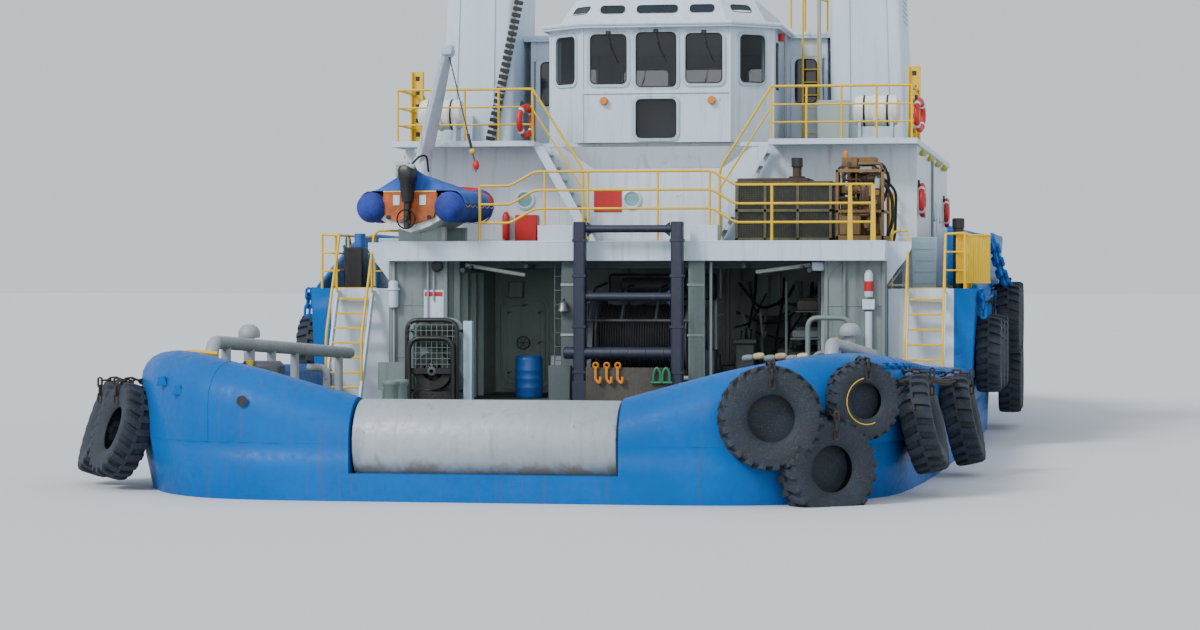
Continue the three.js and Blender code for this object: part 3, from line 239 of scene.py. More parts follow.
MAT = {
    "blue": paint("hull_blue_paint", (0, 92, 168), 0.42, vary=0.12, streaks=0.28, rust=0.1, scuffs=0.34, bump=0.14),
    "antifouling": paint("antifouling_paint", (112, 38, 32), 0.75, vary=0.2, streaks=0.3, rust=0.1, scuffs=0.3),
    "roller": paint("roller_steel", (160, 168, 174), 0.5, 0.15, 0.14, 0.35, 0.35, 0.12, waterline=0.42),
    "white": paint("house_white_paint", (197, 212, 227), 0.42, vary=0.05, streaks=0.26, rust=0.04, bump=0.1),
    # The two casing paints carry painted shade on the walls under the boat deck
    "casing": paint("casing_grey_paint_with_shade", (160, 174, 172), 0.5, vary=0.1, streaks=0.5, rust=0.12, shade_under_deck=True),
    "shade_grey": paint("inner_grey_paint", (78, 90, 92), 0.55, vary=0.16, streaks=0.5, rust=0.2),
    "yellow": paint("rail_yellow_paint", (226, 184, 22), 0.42, vary=0.08, streaks=0.25, rust=0.16, scale=2.2),
    "navy": paint("frame_navy_paint", (38, 42, 62), 0.4, 0.1, 0.18, 0.25, 0.12, 0.25),
    "deck": paint("deck_green_paint", (84, 100, 92), 0.8, vary=0.18, streaks=0.1, rust=0.5, scuffs=0.5, grain=2),
    "winch": paint("winch_paint", (74, 78, 86), 0.55, 0.25, 0.2, 0.4, 0.4, 0.3),
    "pipe": paint("pipe_grey_paint", (150, 157, 162), 0.5, 0.1, 0.12, 0.3, 0.3, 0.2, scale=1.6),
    "sea_green": paint("grey_green_paint", (112, 128, 126), 0.5, vary=0.12, streaks=0.35, rust=0.25, scale=1.5),
    "black": paint("black_paint", (26, 27, 30), 0.45, vary=0.3, streaks=0.2, rust=0.1),
    "steel": paint("bare_steel", (120, 122, 124), 0.38, 0.7, 0.15, 0.2, 0.3, 0.1, scale=3),
    "chain": paint("chain_steel", (56, 50, 48), 0.7, 0.4, 0.3, 0, 0.9, 0, scale=6),
    "bronze": paint("propeller_bronze", (176, 132, 66), 0.32, 0.85, 0.15, 0.1, 0, 0.1),
    "red": paint("red_paint", (190, 26, 26), 0.42, vary=0.1, streaks=0.15, rust=0.05, scale=2),
    "orange": paint("orange_paint", (206, 124, 24), 0.45, vary=0.12, streaks=0.2, rust=0.1, scale=3),
    "green": paint("green_paint", (38, 120, 84), 0.45, vary=0.12, streaks=0.2, rust=0.1, scale=3),
    "ochre": paint("machine_ochre_paint", (120, 92, 54), 0.6, vary=0.3, streaks=0.9, rust=0.7, grime=srgb(52, 40, 28),
                   scale=2.6),
    "dark_pipe": paint("machine_dark", (72, 56, 42), 0.55, 0.3, 0.3, 0.5, 0.7, 0.2, scale=3),
    "davit": paint("davit_paint", (172, 188, 200), 0.45, vary=0.1, streaks=0.4, rust=0.1),
    "barrel": paint("barrel_plastic", (30, 92, 172), 0.4, vary=0.08, streaks=0.3, rust=0, scuffs=0.3, scale=2),
    "raft": paint("raft_fibreglass", (232, 234, 230), 0.3, vary=0.03, streaks=0.3, scale=2),
    "boat_hull": paint("boat_hull_gelcoat", (206, 210, 208), 0.35, vary=0.06, streaks=0.5, scale=2),
    "rubber": rubber("tyre_rubber", (33, 41, 52), 0.22),
    "seal": rubber("gasket_rubber", (26, 28, 31), 0.2),
    "tube_blue": rubber("boat_tube_fabric", (30, 52, 140), 0.25),
    "tube_orange": rubber("boat_tube_orange", (176, 88, 42), 0.35),
    "rope": cloth("rope_fibre", (196, 176, 138), (150, 128, 96), 500),
    "tarp_blue": cloth("blue_tarpaulin", (34, 74, 158), (58, 104, 186)),
    "tarp_red": cloth("red_tarpaulin", (182, 58, 40), (206, 84, 52)),
    "hose": rubber("hose_rubber", (24, 25, 27), 0.3),
    "glass": glass("window_glass", (16, 24, 28), 0.34),
    "lens": glass("lamp_lens", (196, 204, 196), 0.9),
    "interior": paint("interior_dark", (52, 60, 68), 0.6, vary=0.2),
    "wire": paint("winch_wire", (72, 74, 78), 0.55, 0.5, 0.25, 0.2, 0.5, scale=5),
    "sill": paint("sill_plate_paint", (66, 62, 56), 0.6, vary=0.25, streaks=0.5, rust=0.35, scuffs=0.4, scale=3),
    "porthole": glass("porthole_glass", (104, 150, 154), 0.95),
    "dark_glass": glass("roof_window_glass", (24, 32, 42), 0.95),
    "lamp_green": paint("flood_lamp_olive", (168, 166, 66), 0.45, vary=0.2, streaks=0.3, rust=0.1, scale=4),
    "panel_blue": paint("locker_blue_paint", (168, 196, 214), 0.45, vary=0.08, streaks=0.3, rust=0.1),
    "olive": paint("cooler_olive_paint", (92, 88, 66), 0.7, vary=0.35, streaks=0.5, rust=0.6, scale=3),
    "mesh": paint("screen_wire", (84, 82, 68), 0.6, 0.3, 0.3, 0.2, 0.5, scale=5),
    "white_decked": paint("house_white_decked", (206, 217, 228), 0.42, vary=0.05, streaks=0.3, rust=0.05, bump=0.1,
                          coating=(92, 112, 104)),
    "casing_decked": paint("casing_grey_decked_with_shade", (160, 174, 172), 0.5, vary=0.1, streaks=0.55, rust=0.14,
                           shade_under_deck=True, coating=(92, 112, 104)),
}
MAT["blue"].node_tree.nodes["Principled BSDF"].inputs["Specular IOR Level"].default_value = 0.12


# Shapes: each gives its corners and its faces, to be put into a piece

def loft(rings, closed=True, caps=True):
    count = len(rings[0])
    verts = [tuple(p) for ring in rings for p in ring]
    faces = []
    for r in range(len(rings) - 1):
        for i in range(count if closed else count - 1):
            a, b = r * count + i, r * count + (i + 1) % count
            faces.append((a, b, b + count, a + count))
    if caps:
        faces.append(tuple(reversed(range(count))))
        faces.append(tuple(range((len(rings) - 1) * count, len(rings) * count)))
    return verts, faces


def frames(path, closed=False):
    """Points of a path with two axes square to it at each, turned as little as possible on the way."""
    points = [Vector(p) for p in path]
    ways = []
    for i in range(len(points)):
        before = points[i - 1] if i or closed else points[i]
        after = points[(i + 1) % len(points)] if i + 1 < len(points) or closed else points[i]
        ways.append((after - before).normalized())
    up = Vector((0, 0, 1)) if abs(ways[0].z) < 0.95 else Vector((1, 0, 0))
    side = up.cross(ways[0]).normalized()
    rows = []
    for point, way in zip(points, ways):
        side = (side - way * side.dot(way)).normalized()
        rows.append((point, side, way.cross(side)))
    return rows


def circle(radius, count):
    return [(radius * math.cos(t), radius * math.sin(t)) for t in (2 * math.pi * k / count for k in range(count))]


def tube(path, radius, sides=12, closed=False):
    rings = [[point + side * a + up * b for a, b in circle(radius, sides)]
             for point, side, up in frames(path, closed)]
    if closed:
        rings.append(rings[0])
    return loft(rings, True, not closed)


def rod(a, b, radius, sides=12):
    return tube([a, b], radius, sides)


def post(x, y, low, high, radius, sides=12):
    """Upright rod."""
    return rod((x, y, low), (x, y, high), radius, sides)


def rounded(points, radius=0.15, steps=5):
    """A path with its corners rounded."""
    points = [Vector(p) for p in points]
    out = [points[0]]
    for before, corner, after in zip(points, points[1:], points[2:]):
        reach = min(radius, (corner - before).length * 0.49, (after - corner).length * 0.49)
        a = corner + (before - corner).normalized() * reach
        b = corner + (after - corner).normalized() * reach
        out += [a.lerp(corner, t).lerp(corner.lerp(b, t), t) for t in (k / steps for k in range(steps + 1))]
    return out + [points[-1]]


def pipe(points, radius, sides=12, bend=0.15):
    return tube(rounded(points, bend), radius, sides)


def square_to(way):
    """Two axes square to a direction and to each other."""
    side = (Vector((0, 0, 1)) if abs(way.z) < 0.9 else Vector((1, 0, 0))).cross(way).normalized()
    return side, way.cross(side)


def lathe(profile, origin=(0, 0, 0), axis=(0, 0, 1), sides=24, closed=False):
    """Ring turned about an axis: radius and place along the axis of each profile point."""
    way = Vector(axis).normalized()
    side, up = square_to(way)
    rings = [[Vector(origin) + way * along + side * a + up * b for a, b in circle(radius, sides)]
             for radius, along in profile]
    if closed:
        rings.append(rings[0])
    return loft(rings, True, not closed)


def drum(a, b, radius, sides=24, edge=0.01):
    """Cylinder with a small chamfer at both rims."""
    a, b = Vector(a), Vector(b)
    length = (b - a).length
    return lathe([(radius - edge, 0), (radius, edge), (radius, length - edge), (radius - edge, length)], a, b - a,
                 sides)


def can(x, y, low, high, radius, sides=24, edge=0.01):
    """Upright drum."""
    return drum((x, y, low), (x, y, high), radius, sides, edge)


BLOCK_FACES = []


def block(low, high, edge=0.01):
    """Box with all its edges chamfered."""
    center = [(a + b) / 2 for a, b in zip(low, high)]
    half = [abs(b - a) / 2 for a, b in zip(low, high)]
    edge = min([edge] + [h * 0.6 for h in half])
    verts = []
    for sx in (-1, 1):
        for sy in (-1, 1):
            for sz in (-1, 1):
                for full in range(3):
                    verts.append(tuple(c + s * (h if k == full else h - edge)
                                       for k, (c, s, h) in enumerate(zip(center, (sx, sy, sz), half))))
    if not BLOCK_FACES:
        bm = bmesh.new()
        made = [bm.verts.new(v) for v in verts]
        for i, v in enumerate(made):
            v.index = i
        bmesh.ops.convex_hull(bm, input=made)
        bmesh.ops.join_triangles(bm, faces=bm.faces[:], angle_face_threshold=0.01, angle_shape_threshold=3)
        bm.normal_update()
        BLOCK_FACES.extend(tuple(v.index for v in f.verts) for f in bm.faces)
        bm.free()
    return verts, list(BLOCK_FACES)


def slab(outline, plane, low, high, edge=0.0):
    """Outline in a plane ('xy', 'xz' or 'yz') pushed from low to high, with chamfered rims when edge is given."""
    rest = "xyz".replace(plane[0], "").replace(plane[1], "")
    area = sum(a[0] * b[1] - b[0] * a[1] for a, b in zip(outline, outline[1:] + outline[:1]))
    points = outline if area > 0 else outline[::-1]
    levels = [(low, 0)] if not edge else [(low, edge), (low + edge, 0)]
    levels += [(high, 0)] if not edge else [(high - edge, 0), (high, edge)]
    rings = []
    for level, inset in levels:
        ring = []
        for (a0, b0), (a1, b1), (a2, b2) in zip(points[-1:] + points[:-1], points, points[1:] + points[:1]):
            d0 = Vector((a1 - a0, b1 - b0)).normalized()
            d1 = Vector((a2 - a1, b2 - b1)).normalized()
            normal = Vector((-d0.y - d1.y, d0.x + d1.x))
            size = max(0.2, 1 + d0.dot(d1))
            at = {plane[0]: a1 + normal.x * inset / size, plane[1]: b1 + normal.y * inset / size, rest: level}
            ring.append((at["x"], at["y"], at["z"]))
        rings.append(ring)
    return loft(rings)


def rounded_rect(width, height, radius, steps=5):
    out = []
    for cx, cy, start in ((1, 1, 0), (-1, 1, 90), (-1, -1, 180), (1, -1, 270)):
        for k in range(steps + 1):
            t = math.radians(start + 90 * k / steps)
            out.append((cx * (width / 2 - radius) + radius * math.cos(t),
                        cy * (height / 2 - radius) + radius * math.sin(t)))
    return out


def ring_plate(outer, inner, depth):
    """Flat frame between two outlines of equally many points, in XZ, from y 0 to depth."""
    rings = [[(x, 0, z) for x, z in inner], [(x, 0, z) for x, z in outer], [(x, depth, z) for x, z in outer],
             [(x, depth, z) for x, z in inner]]
    return loft(rings + [rings[0]], True, False)


def moved(shape, at=(0, 0, 0), turn=(0, 0, 0), scale=(1, 1, 1)):
    verts, faces = shape
    matrix = Matrix.Translation(at)
    for angle, name in zip(turn, "XYZ"):
        if angle:
            matrix = matrix @ Matrix.Rotation(math.radians(angle), 4, name)
    matrix = matrix @ Matrix.Diagonal((*scale, 1))
    return [tuple(matrix @ Vector(v)) for v in verts], faces


def flipped(shape, side):
    verts, faces = shape
    return [(side * x, y, z) for x, y, z in verts], [tuple(reversed(f)) for f in faces] if side < 0 else faces


def merged(*shapes):
    verts, faces = [], []
    for v, f in shapes:
        base = len(verts)
        verts += v
        faces += [tuple(i + base for i in face) for face in f]
    return verts, faces


def outward(mesh, weld=0):
    """Turns all faces of a mesh outwards, after joining corners that lie closer than weld."""
    bm = bmesh.new()
    bm.from_mesh(mesh)
    if weld:
        bmesh.ops.remove_doubles(bm, verts=bm.verts[:], dist=weld)
    bmesh.ops.recalc_face_normals(bm, faces=bm.faces[:])
    bm.to_mesh(mesh)
    bm.free()


class Piece:
    """Collects shapes, each with a material, and turns them into one object that rides on a body."""

    def __init__(self, name, slot, body="hull", replaces=(), place=None):
        self.name, self.slot, self.body, self.nodes, self.place = name, slot, body, replaces, place
        self.verts, self.faces, self.mats, self.used = [], [], [], []

    def add(self, mat, *shapes, side=1):
        """Adds shapes of one material, each put in place by the piece's own function, and mirrored if side is -1."""
        if mat not in self.used:
            self.used.append(mat)
        for shape in shapes:
            verts, faces = flipped(self.place(shape) if self.place else shape, side)
            base = len(self.verts)
            self.verts += [tuple(v) for v in verts]
            self.faces += [tuple(i + base for i in f) for f in faces]
            self.mats += [self.used.index(mat)] * len(faces)

    def done(self, smooth=38):
        mesh = bpy.data.meshes.new(self.name)
        mesh.from_pydata(self.verts, [], self.faces)
        mesh.validate()
        for mat in self.used:
            mesh.materials.append(MAT[mat])
        mesh.polygons.foreach_set("material_index", self.mats[:len(mesh.polygons)])
        outward(mesh)
        mesh.set_sharp_from_angle(angle=math.radians(smooth))
        made = bpy.data.objects.new(self.name, mesh)
        scene.collection.objects.link(made)
        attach(made, self.body)
        if self.nodes:
            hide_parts(*self.nodes)
        return made


def carve(piece, cutters):
    """Cuts shapes out of a finished piece."""
    for verts, faces in cutters:
        mesh = bpy.data.meshes.new("cutter")
        mesh.from_pydata(verts, [], faces)
        outward(mesh)
        tool = bpy.data.objects.new("cutter", mesh)
        scene.collection.objects.link(tool)
        modifier = piece.modifiers.new("cut", "BOOLEAN")
        modifier.operation, modifier.object, modifier.solver = "DIFFERENCE", tool, "EXACT"
        with bpy.context.temp_override(object=piece, active_object=piece, selected_objects=[piece]):
            bpy.ops.object.modifier_apply(modifier=modifier.name)
        bpy.data.objects.remove(tool)


def spread(rows, per):
    """Rows of numbers with smooth rows put between them."""
    out = []
    for i in range(len(rows) - 1):
        p0, p1, p2 = rows[max(i - 1, 0)], rows[i], rows[i + 1]
        p3 = rows[min(i + 2, len(rows) - 1)]
        for k in range(per):
            t = k / per
            row = []
            for a, b, c, d in zip(p0, p1, p2, p3):
                m1, m2 = (c - a) / 2, (d - b) / 2
                cube, square = t * t * t, t * t
                row.append((2 * cube - 3 * square + 1) * b + (cube - 2 * square + t) * m1
                           + (-2 * cube + 3 * square) * c + (cube - square) * m2)
            out.append(row)
    return out + [list(rows[-1])]


# Hull, forecastle and the bulwarks round them

HULL = [
    # y, half-breadths at deck, waterline, bilge and floor, heights of the last two
    (-18.75, 2.06, 2.0, 1.5, 0.5, -0.25, -0.33), (-18.7, 3.5, 3.35, 2.7, 0.8, -0.3, -0.4),
    (-18.45, 4.5, 4.3, 3.6, 1.1, -0.38, -0.48), (-17.9, 5.2, 5.0, 4.3, 1.5, -0.47, -0.57),
    (-17.1, 5.75, 5.55, 4.9, 1.8, -0.62, -0.72), (-15.7, 6.23, 6.05, 5.4, 2.2, -0.78, -0.9),
    (-12.0, 6.45, 6.35, 5.8, 2.4, -1.15, -1.45), (-8.0, 6.56, 6.5, 6.0, 2.8, -2.3, -3.2),
    (-3.6, 6.65, 6.62, 6.2, 3.2, -3.05, -3.85), (1.0, 6.7, 6.69, 6.3, 3.4, -3.2, -4.0),
    (6.0, 6.7, 6.65, 6.0, 3.0, -3.2, -4.0), (10.0, 6.35, 6.05, 5.0, 2.2, -3.15, -4.0),
    (13.5, 5.3, 4.5, 3.3, 1.3, -3.0, -3.95), (16.0, 3.9, 2.7, 1.7, 0.6, -2.7, -3.6),
    (17.8, 2.4, 1.1, 0.6, 0.25, -1.9, -2.5), (18.7, 1.3, 0.42, 0.2, 0.1, -0.6, -0.9),
    (19.1, 0.3, 0.09, 0.07, 0.05, -0.11, -0.2),
]
ROLLER_Y, ROLLER_R = -18.05, 0.65


def by_height(shape, rules):
    """Splits a shape's faces over materials by the height of their middle."""
    verts, faces = shape
    out = {}
    for face in faces:
        z = sum(verts[i][2] for i in face) / len(face)
        out.setdefault(next(mat for low, mat in rules if z >= low), []).append(face)
    return [(mat, (verts, chosen)) for mat, chosen in out.items()]


def hull_half(deck, side, bilge, floor, bilge_z, floor_z):
    mid = lambda a, b, t: (a[0] + (b[0] - a[0]) * t, a[1] + (b[1] - a[1]) * t)
    f, b, s = (floor, floor_z), (bilge, bilge_z), (side, 0)
    return [f, mid(f, b, 0.55), mid(f, b, 0.86), mid(b, s, 0.16), mid(b, s, 0.5), mid(b, s, 0.92), s,
            mid(s, (deck, DECK), 0.5), (deck, DECK)]


rings = []
for y, *rest in spread(HULL, 3):
    half = hull_half(*rest)
    rings.append([(x, y, z) for x, z in half] + [(-x, y, z) for x, z in reversed(half)])
hull = Piece("hull_skin", "hull_blue", replaces=["hull"])
# The first material is also that of the faces that the cutters leave
hull.add("blue")
for mat, shape in by_height(loft(rings), [(DECK - 0.001, "deck"), (-0.06, "blue"), (-99, "antifouling")]):
    hull.add(mat, shape)
hull_skin = hull.done()
carve(hull_skin, [
    lathe([(ROLLER_R + 0.015, -2.06), (ROLLER_R + 0.015, 2.06)], (0, ROLLER_Y, DECK), (1, 0, 0), 48),
    block((-2.06, -19, 0.42), (2.06, ROLLER_Y, 1.5), 0.001),
])

BULWARK = [
    # x, y, top, thickness, way inboard
    (2.06, -18.75, 1.56, 1.32, 0, 1), (3.5, -18.7, 1.94, 1.3, -0.06, 0.998), (4.5, -18.45, 2.11, 1.25, -0.35, 0.937),
    (5.2, -17.9, 2.2, 1.15, -0.62, 0.785), (5.75, -17.1, 2.22, 1.0, -0.87, 0.5),
    (6.23, -15.7, 2.14, 0.8, -0.97, 0.24), (6.45, -12.0, 1.9, 0.6, -1, 0), (6.56, -8.0, 1.74, 0.42, -1, 0),
    (6.65, -3.5, 1.6, 0.33, -1, 0),
]


def chain(points, wire=0.014, pitch=0.11, slack=0.0):
    """Links laid one after another on a line of points."""
    points = [Vector(p) for p in points]
    if slack:
        a, b = points[0], points[-1]
        points = [a.lerp(b, t) - Vector((0, 0, 4 * slack * t * (1 - t))) for t in (k / 16 for k in range(17))]
    lengths = [0]
    for a, b in zip(points, points[1:]):
        lengths.append(lengths[-1] + (b - a).length)
    count = max(1, round(lengths[-1] / pitch))
    shapes = []
    for n in range(count):
        at = (n + 0.5) / count * lengths[-1]
        i = max(k for k in range(len(points) - 1) if lengths[k] <= at)
        way = (points[i + 1] - points[i]).normalized()
        center = points[i] + way * (at - lengths[i])
        side, up = square_to(way)
        across = side if n % 2 else up
        half, width = pitch * 0.72 - wire, wire * 1.75
        outline = ((-0.75, 1), (0.75, 1), (1, 0.6), (1, -0.6), (0.75, -1), (-0.75, -1), (-1, -0.6), (-1, 0.6))
        loop = [center + way * (half * u) + across * (width * v) for u, v in outline]
        shapes.append(tube(loop, wire, 6, closed=True))
    return merged(*shapes)


def bulwark_half(steps=10):
    rings = []
    for x, y, top, thick, dx, dy in spread(BULWARK, 5):
        size = math.hypot(dx, dy)
        dx, dy = dx / size, dy / size
        half = thick / 2
        arc = [(half - half * math.cos(t), top - half + half * math.sin(t))
               for t in (math.pi * k / steps for k in range(steps + 1))]
        profile = [(0, DECK)] + arc + [(thick, DECK)]
        rings.append([(x + dx * inboard, y + dy * inboard, z) for inboard, z in profile])
    return rings


for s, name in SIDES:
    piece = Piece(f"stern_bulwark_skin_{name}", "hull_blue", replaces=[f"stern_bulwark_{name}"])
    rows = bulwark_half()
    piece.add("blue", loft(rows), side=s)
    # Upright weld beads
    for k in (9, 24, 34):
        bead = [Vector(p) for p in rows[k][:8]]
        out = (bead[0] - Vector(rows[k][-1])).normalized() * 0.001
        piece.add("blue", tube([p + out for p in bead], 0.006, 6), side=s)
    # Blue chain welded along its outer shoulder
    if s > 0:
        piece.add("blue",
                  chain([(x + 0.02, y - 0.01, z + 0.02) for x, y, z in (rows[k][3] for k in range(20, 33))], 0.02,
                        0.16))
    piece.done()

# Fairlead hole, pad eyes and small marks on the after face. The port black dish is the fairlead hole, its black a
# painted shade for the hole's depth
marks = Piece("stern_marks", "hull_blue")
for x, z in ((-3.73, 1.5), (3.2, 1.2)):
    marks.add("black", lathe([(0.001, -0.004), (0.07, -0.004), (0.085, 0.0)], (x, -18.7, z), (0, -1, 0), 24))
for x, y, z in ((-5.25, -17.9, 1.75), (-4.9, -18.2, 1.62)):
    marks.add("blue",
              moved(slab([(-0.09, 0), (0.09, 0), (0.05, 0.14), (-0.05, 0.14)], "xz", -0.03, 0.03, 0.005),
                    (x, y, z - 0.05)))
marks.done()

# Stern roller: drum with collars, on its axle
roller = Piece("roller_drum", "roller_steel", "roller", ["stern_roller"])
profile = [(0.12, -2.33), (0.12, -2.03), (0.60, -2.03), (0.64, -2.015), (ROLLER_R, -1.99)]
roller.add("roller",
           lathe(profile + [(r, -along) for r, along in reversed(profile)], (0, ROLLER_Y, DECK), (1, 0, 0), 96))
for x in (-1.35, -0.68, 0, 0.68, 1.35):
    roller.add("roller",
               lathe([(0.6495, -0.02), (0.6508, -0.01), (0.6508, 0.01), (0.6495, 0.02)], (x, ROLLER_Y, DECK),
                     (1, 0, 0), 96, True))
roller.done(30)

FORECASTLE = [
    # y, half-breadth low, half-breadth high, top
    (-3.5, 6.65, 6.75, 3.15), (1.0, 6.7, 6.85, 3.15), (6.0, 6.7, 6.9, 3.15), (10.0, 6.35, 6.72, 3.15),
    (13.5, 5.3, 6.0, 3.15), (16.0, 3.9, 4.9, 3.35), (17.8, 2.4, 3.5, 3.55), (18.7, 1.3, 2.4, 3.7),
    (19.1, 0.3, 1.7, 3.7),
]
forecastle = Piece("forecastle_skin", "hull_blue", replaces=["forecastle_aft", "forecastle_middle", "forecastle_bow"])
# Again for the cut faces
forecastle.add("shade_grey")
rings = []
for y, low, high, top in spread(FORECASTLE, 3):
    half = [(low + (high - low) * t, DECK + (top - DECK) * t) for t in (0, 0.25, 0.5, 0.75, 1)]
    rings.append([(x, y, z) for x, z in half] + [(-x, y, z) for x, z in reversed(half)])
verts, faces = loft(rings)
tops = [f for f in faces if min(verts[i][2] for i in f) > 3.1 and len(f) == 4]
forecastle.add("blue", (verts, [f for f in faces if f not in tops]))
forecastle.add("deck", (verts, tops))
forecastle_skin = forecastle.done()
outward(forecastle_skin.data, 0.0005)
carve(forecastle_skin,
      [block((-5.02, -4, 0), (5.02, 1.0003, 4), 0.001), block((-3.7, 0.8, 0), (-2.6, 2.6, 2.9), 0.001)])

stem = Piece("stem_and_belts", "hull_blue")
stem.add("blue", loft([
    [(0.3, 19.1, 1.0), (1.0, 19.1, 2.35), (1.7, 19.1, 3.7), (-1.7, 19.1, 3.7), (-1.0, 19.1, 2.35), (-0.3, 19.1, 1.0)],
    [(0.26, 19.28, 1.8), (0.75, 19.28, 2.75), (1.25, 19.28, 3.7), (-1.25, 19.28, 3.7), (-0.75, 19.28, 2.75),
     (-0.26, 19.28, 1.8)],
    [(0.2, 19.4, 2.6), (0.45, 19.4, 3.15), (0.7, 19.4, 3.7), (-0.7, 19.4, 3.7), (-0.45, 19.4, 3.15),
     (-0.2, 19.4, 2.6)],
]))
BELT = [(1.4, 6.768), (6.0, 6.79), (10.0, 6.51), (13.5, 5.6), (16.0, 4.32)]
for s, _ in SIDES:
    section = [(-0.15, 1.79), (0.07, 1.83), (0.11, 1.87), (0.12, 1.95), (0.11, 2.03), (0.07, 2.07), (-0.15, 2.11)]
    stem.add("blue", loft([[(s * (half + out), y, z) for out, z in section] for y, half in spread(BELT, 4)]))
    # Plate butts down the side
    for y in (1.2, 6.6, 11.8):
        near = min(FORECASTLE, key=lambda row: abs(row[0] - y))
        stem.add("blue", rod((s * (near[1] + 0.01), y, 0.9), (s * (near[2] + 0.006), y, near[3] - 0.02), 0.006, 6))
stem.done()

BOW = [
    # y, foot, flare, foot height, top height, thickness
    (-3.0, 6.758, 0, 3.15, 3.23, 0.11), (1.0, 6.85, 0.04, 3.15, 4.2, 0.11), (6.0, 6.9, 0.06, 3.15, 4.26, 0.11),
    (10.0, 6.72, 0.11, 3.15, 4.33, 0.115), (13.5, 6.0, 0.16, 3.15, 4.45, 0.15), (16.0, 4.9, 0.2, 3.35, 4.75, 0.17),
    (17.8, 3.5, 0.23, 3.55, 5.0, 0.22), (18.7, 2.4, 0.26, 3.7, 5.15, 0.32), (19.1, 1.7, 0.26, 3.7, 5.2, 0.42),
    (19.4, 0.7, 0.1, 3.7, 5.23, 0.3),
]


def bow_ring(row, s):
    y, foot, flare, z0, z1, thick = row
    back = 0.11 if y > 19.3 else 0
    wide = 0.03
    return [(s * foot, y, z0), (s * (foot + flare), y, z1 - wide), (s * (foot + flare - thick * 0.25), y, z1),
            (s * (foot + flare - thick * 0.75), y - back, z1), (s * (foot + flare - thick), y - back, z1 - wide),
            (s * (foot - thick), y - back, z0)]


bow = Piece("bow_bulwark_skin", "hull_blue", replaces=["bow_bulwark"])
smooth_bow = spread(BOW[:-1], 3) + [list(BOW[-1])]
bow.add("blue", loft([bow_ring(row, 1) for row in smooth_bow] + [bow_ring(row, -1) for row in reversed(smooth_bow)]))
for s, _ in SIDES:
    cap = [(s * (row[1] + row[2] - row[5] / 2), row[0], row[4]) for row in smooth_bow[2:]]
    bow.add("blue", tube(cap, 0.055, 8))
    for row in smooth_bow[4::2]:
        y, foot, flare, z0, z1, thick = row
        if y > 18:
            continue
        inner = foot - thick
        bow.add("blue",
                slab([(s * inner, z0 + 0.01), (s * (inner - 0.42), z0 + 0.01), (s * (inner - 0.4), z0 + 0.08),
                      (s * (inner + flare), z1 - 0.06)], "xz", y - 0.01, y + 0.01))
bow.done()

# Round rubber fender across the bow
half = [(5.56, 15.0), (4.64, 16.5), (3.28, 18.0), (2.0, 19.0), (0.7, 19.6)]
line = [(x, y, 2.5) for x, y in half] + [(-x, y, 2.5) for x, y in reversed(half)]
fender = Piece("bow_fender_rubber", "tyre_rubber", replaces=["bow_fender"])
smooth_line = [(x, min(y, 19.575), z) for x, y, z in spread(line, 5)]
fender.add("rubber", tube(smooth_line, 0.33, 20))
for i in range(2, len(smooth_line) - 2, 3):
    a, b = Vector(smooth_line[i]), Vector(smooth_line[i + 1])
    way = (b - a).normalized()
    fender.add("chain", lathe([(0.32, -0.03), (0.334, -0.03), (0.334, 0.03), (0.32, 0.03)], a, way, 20, True))
fender.done()

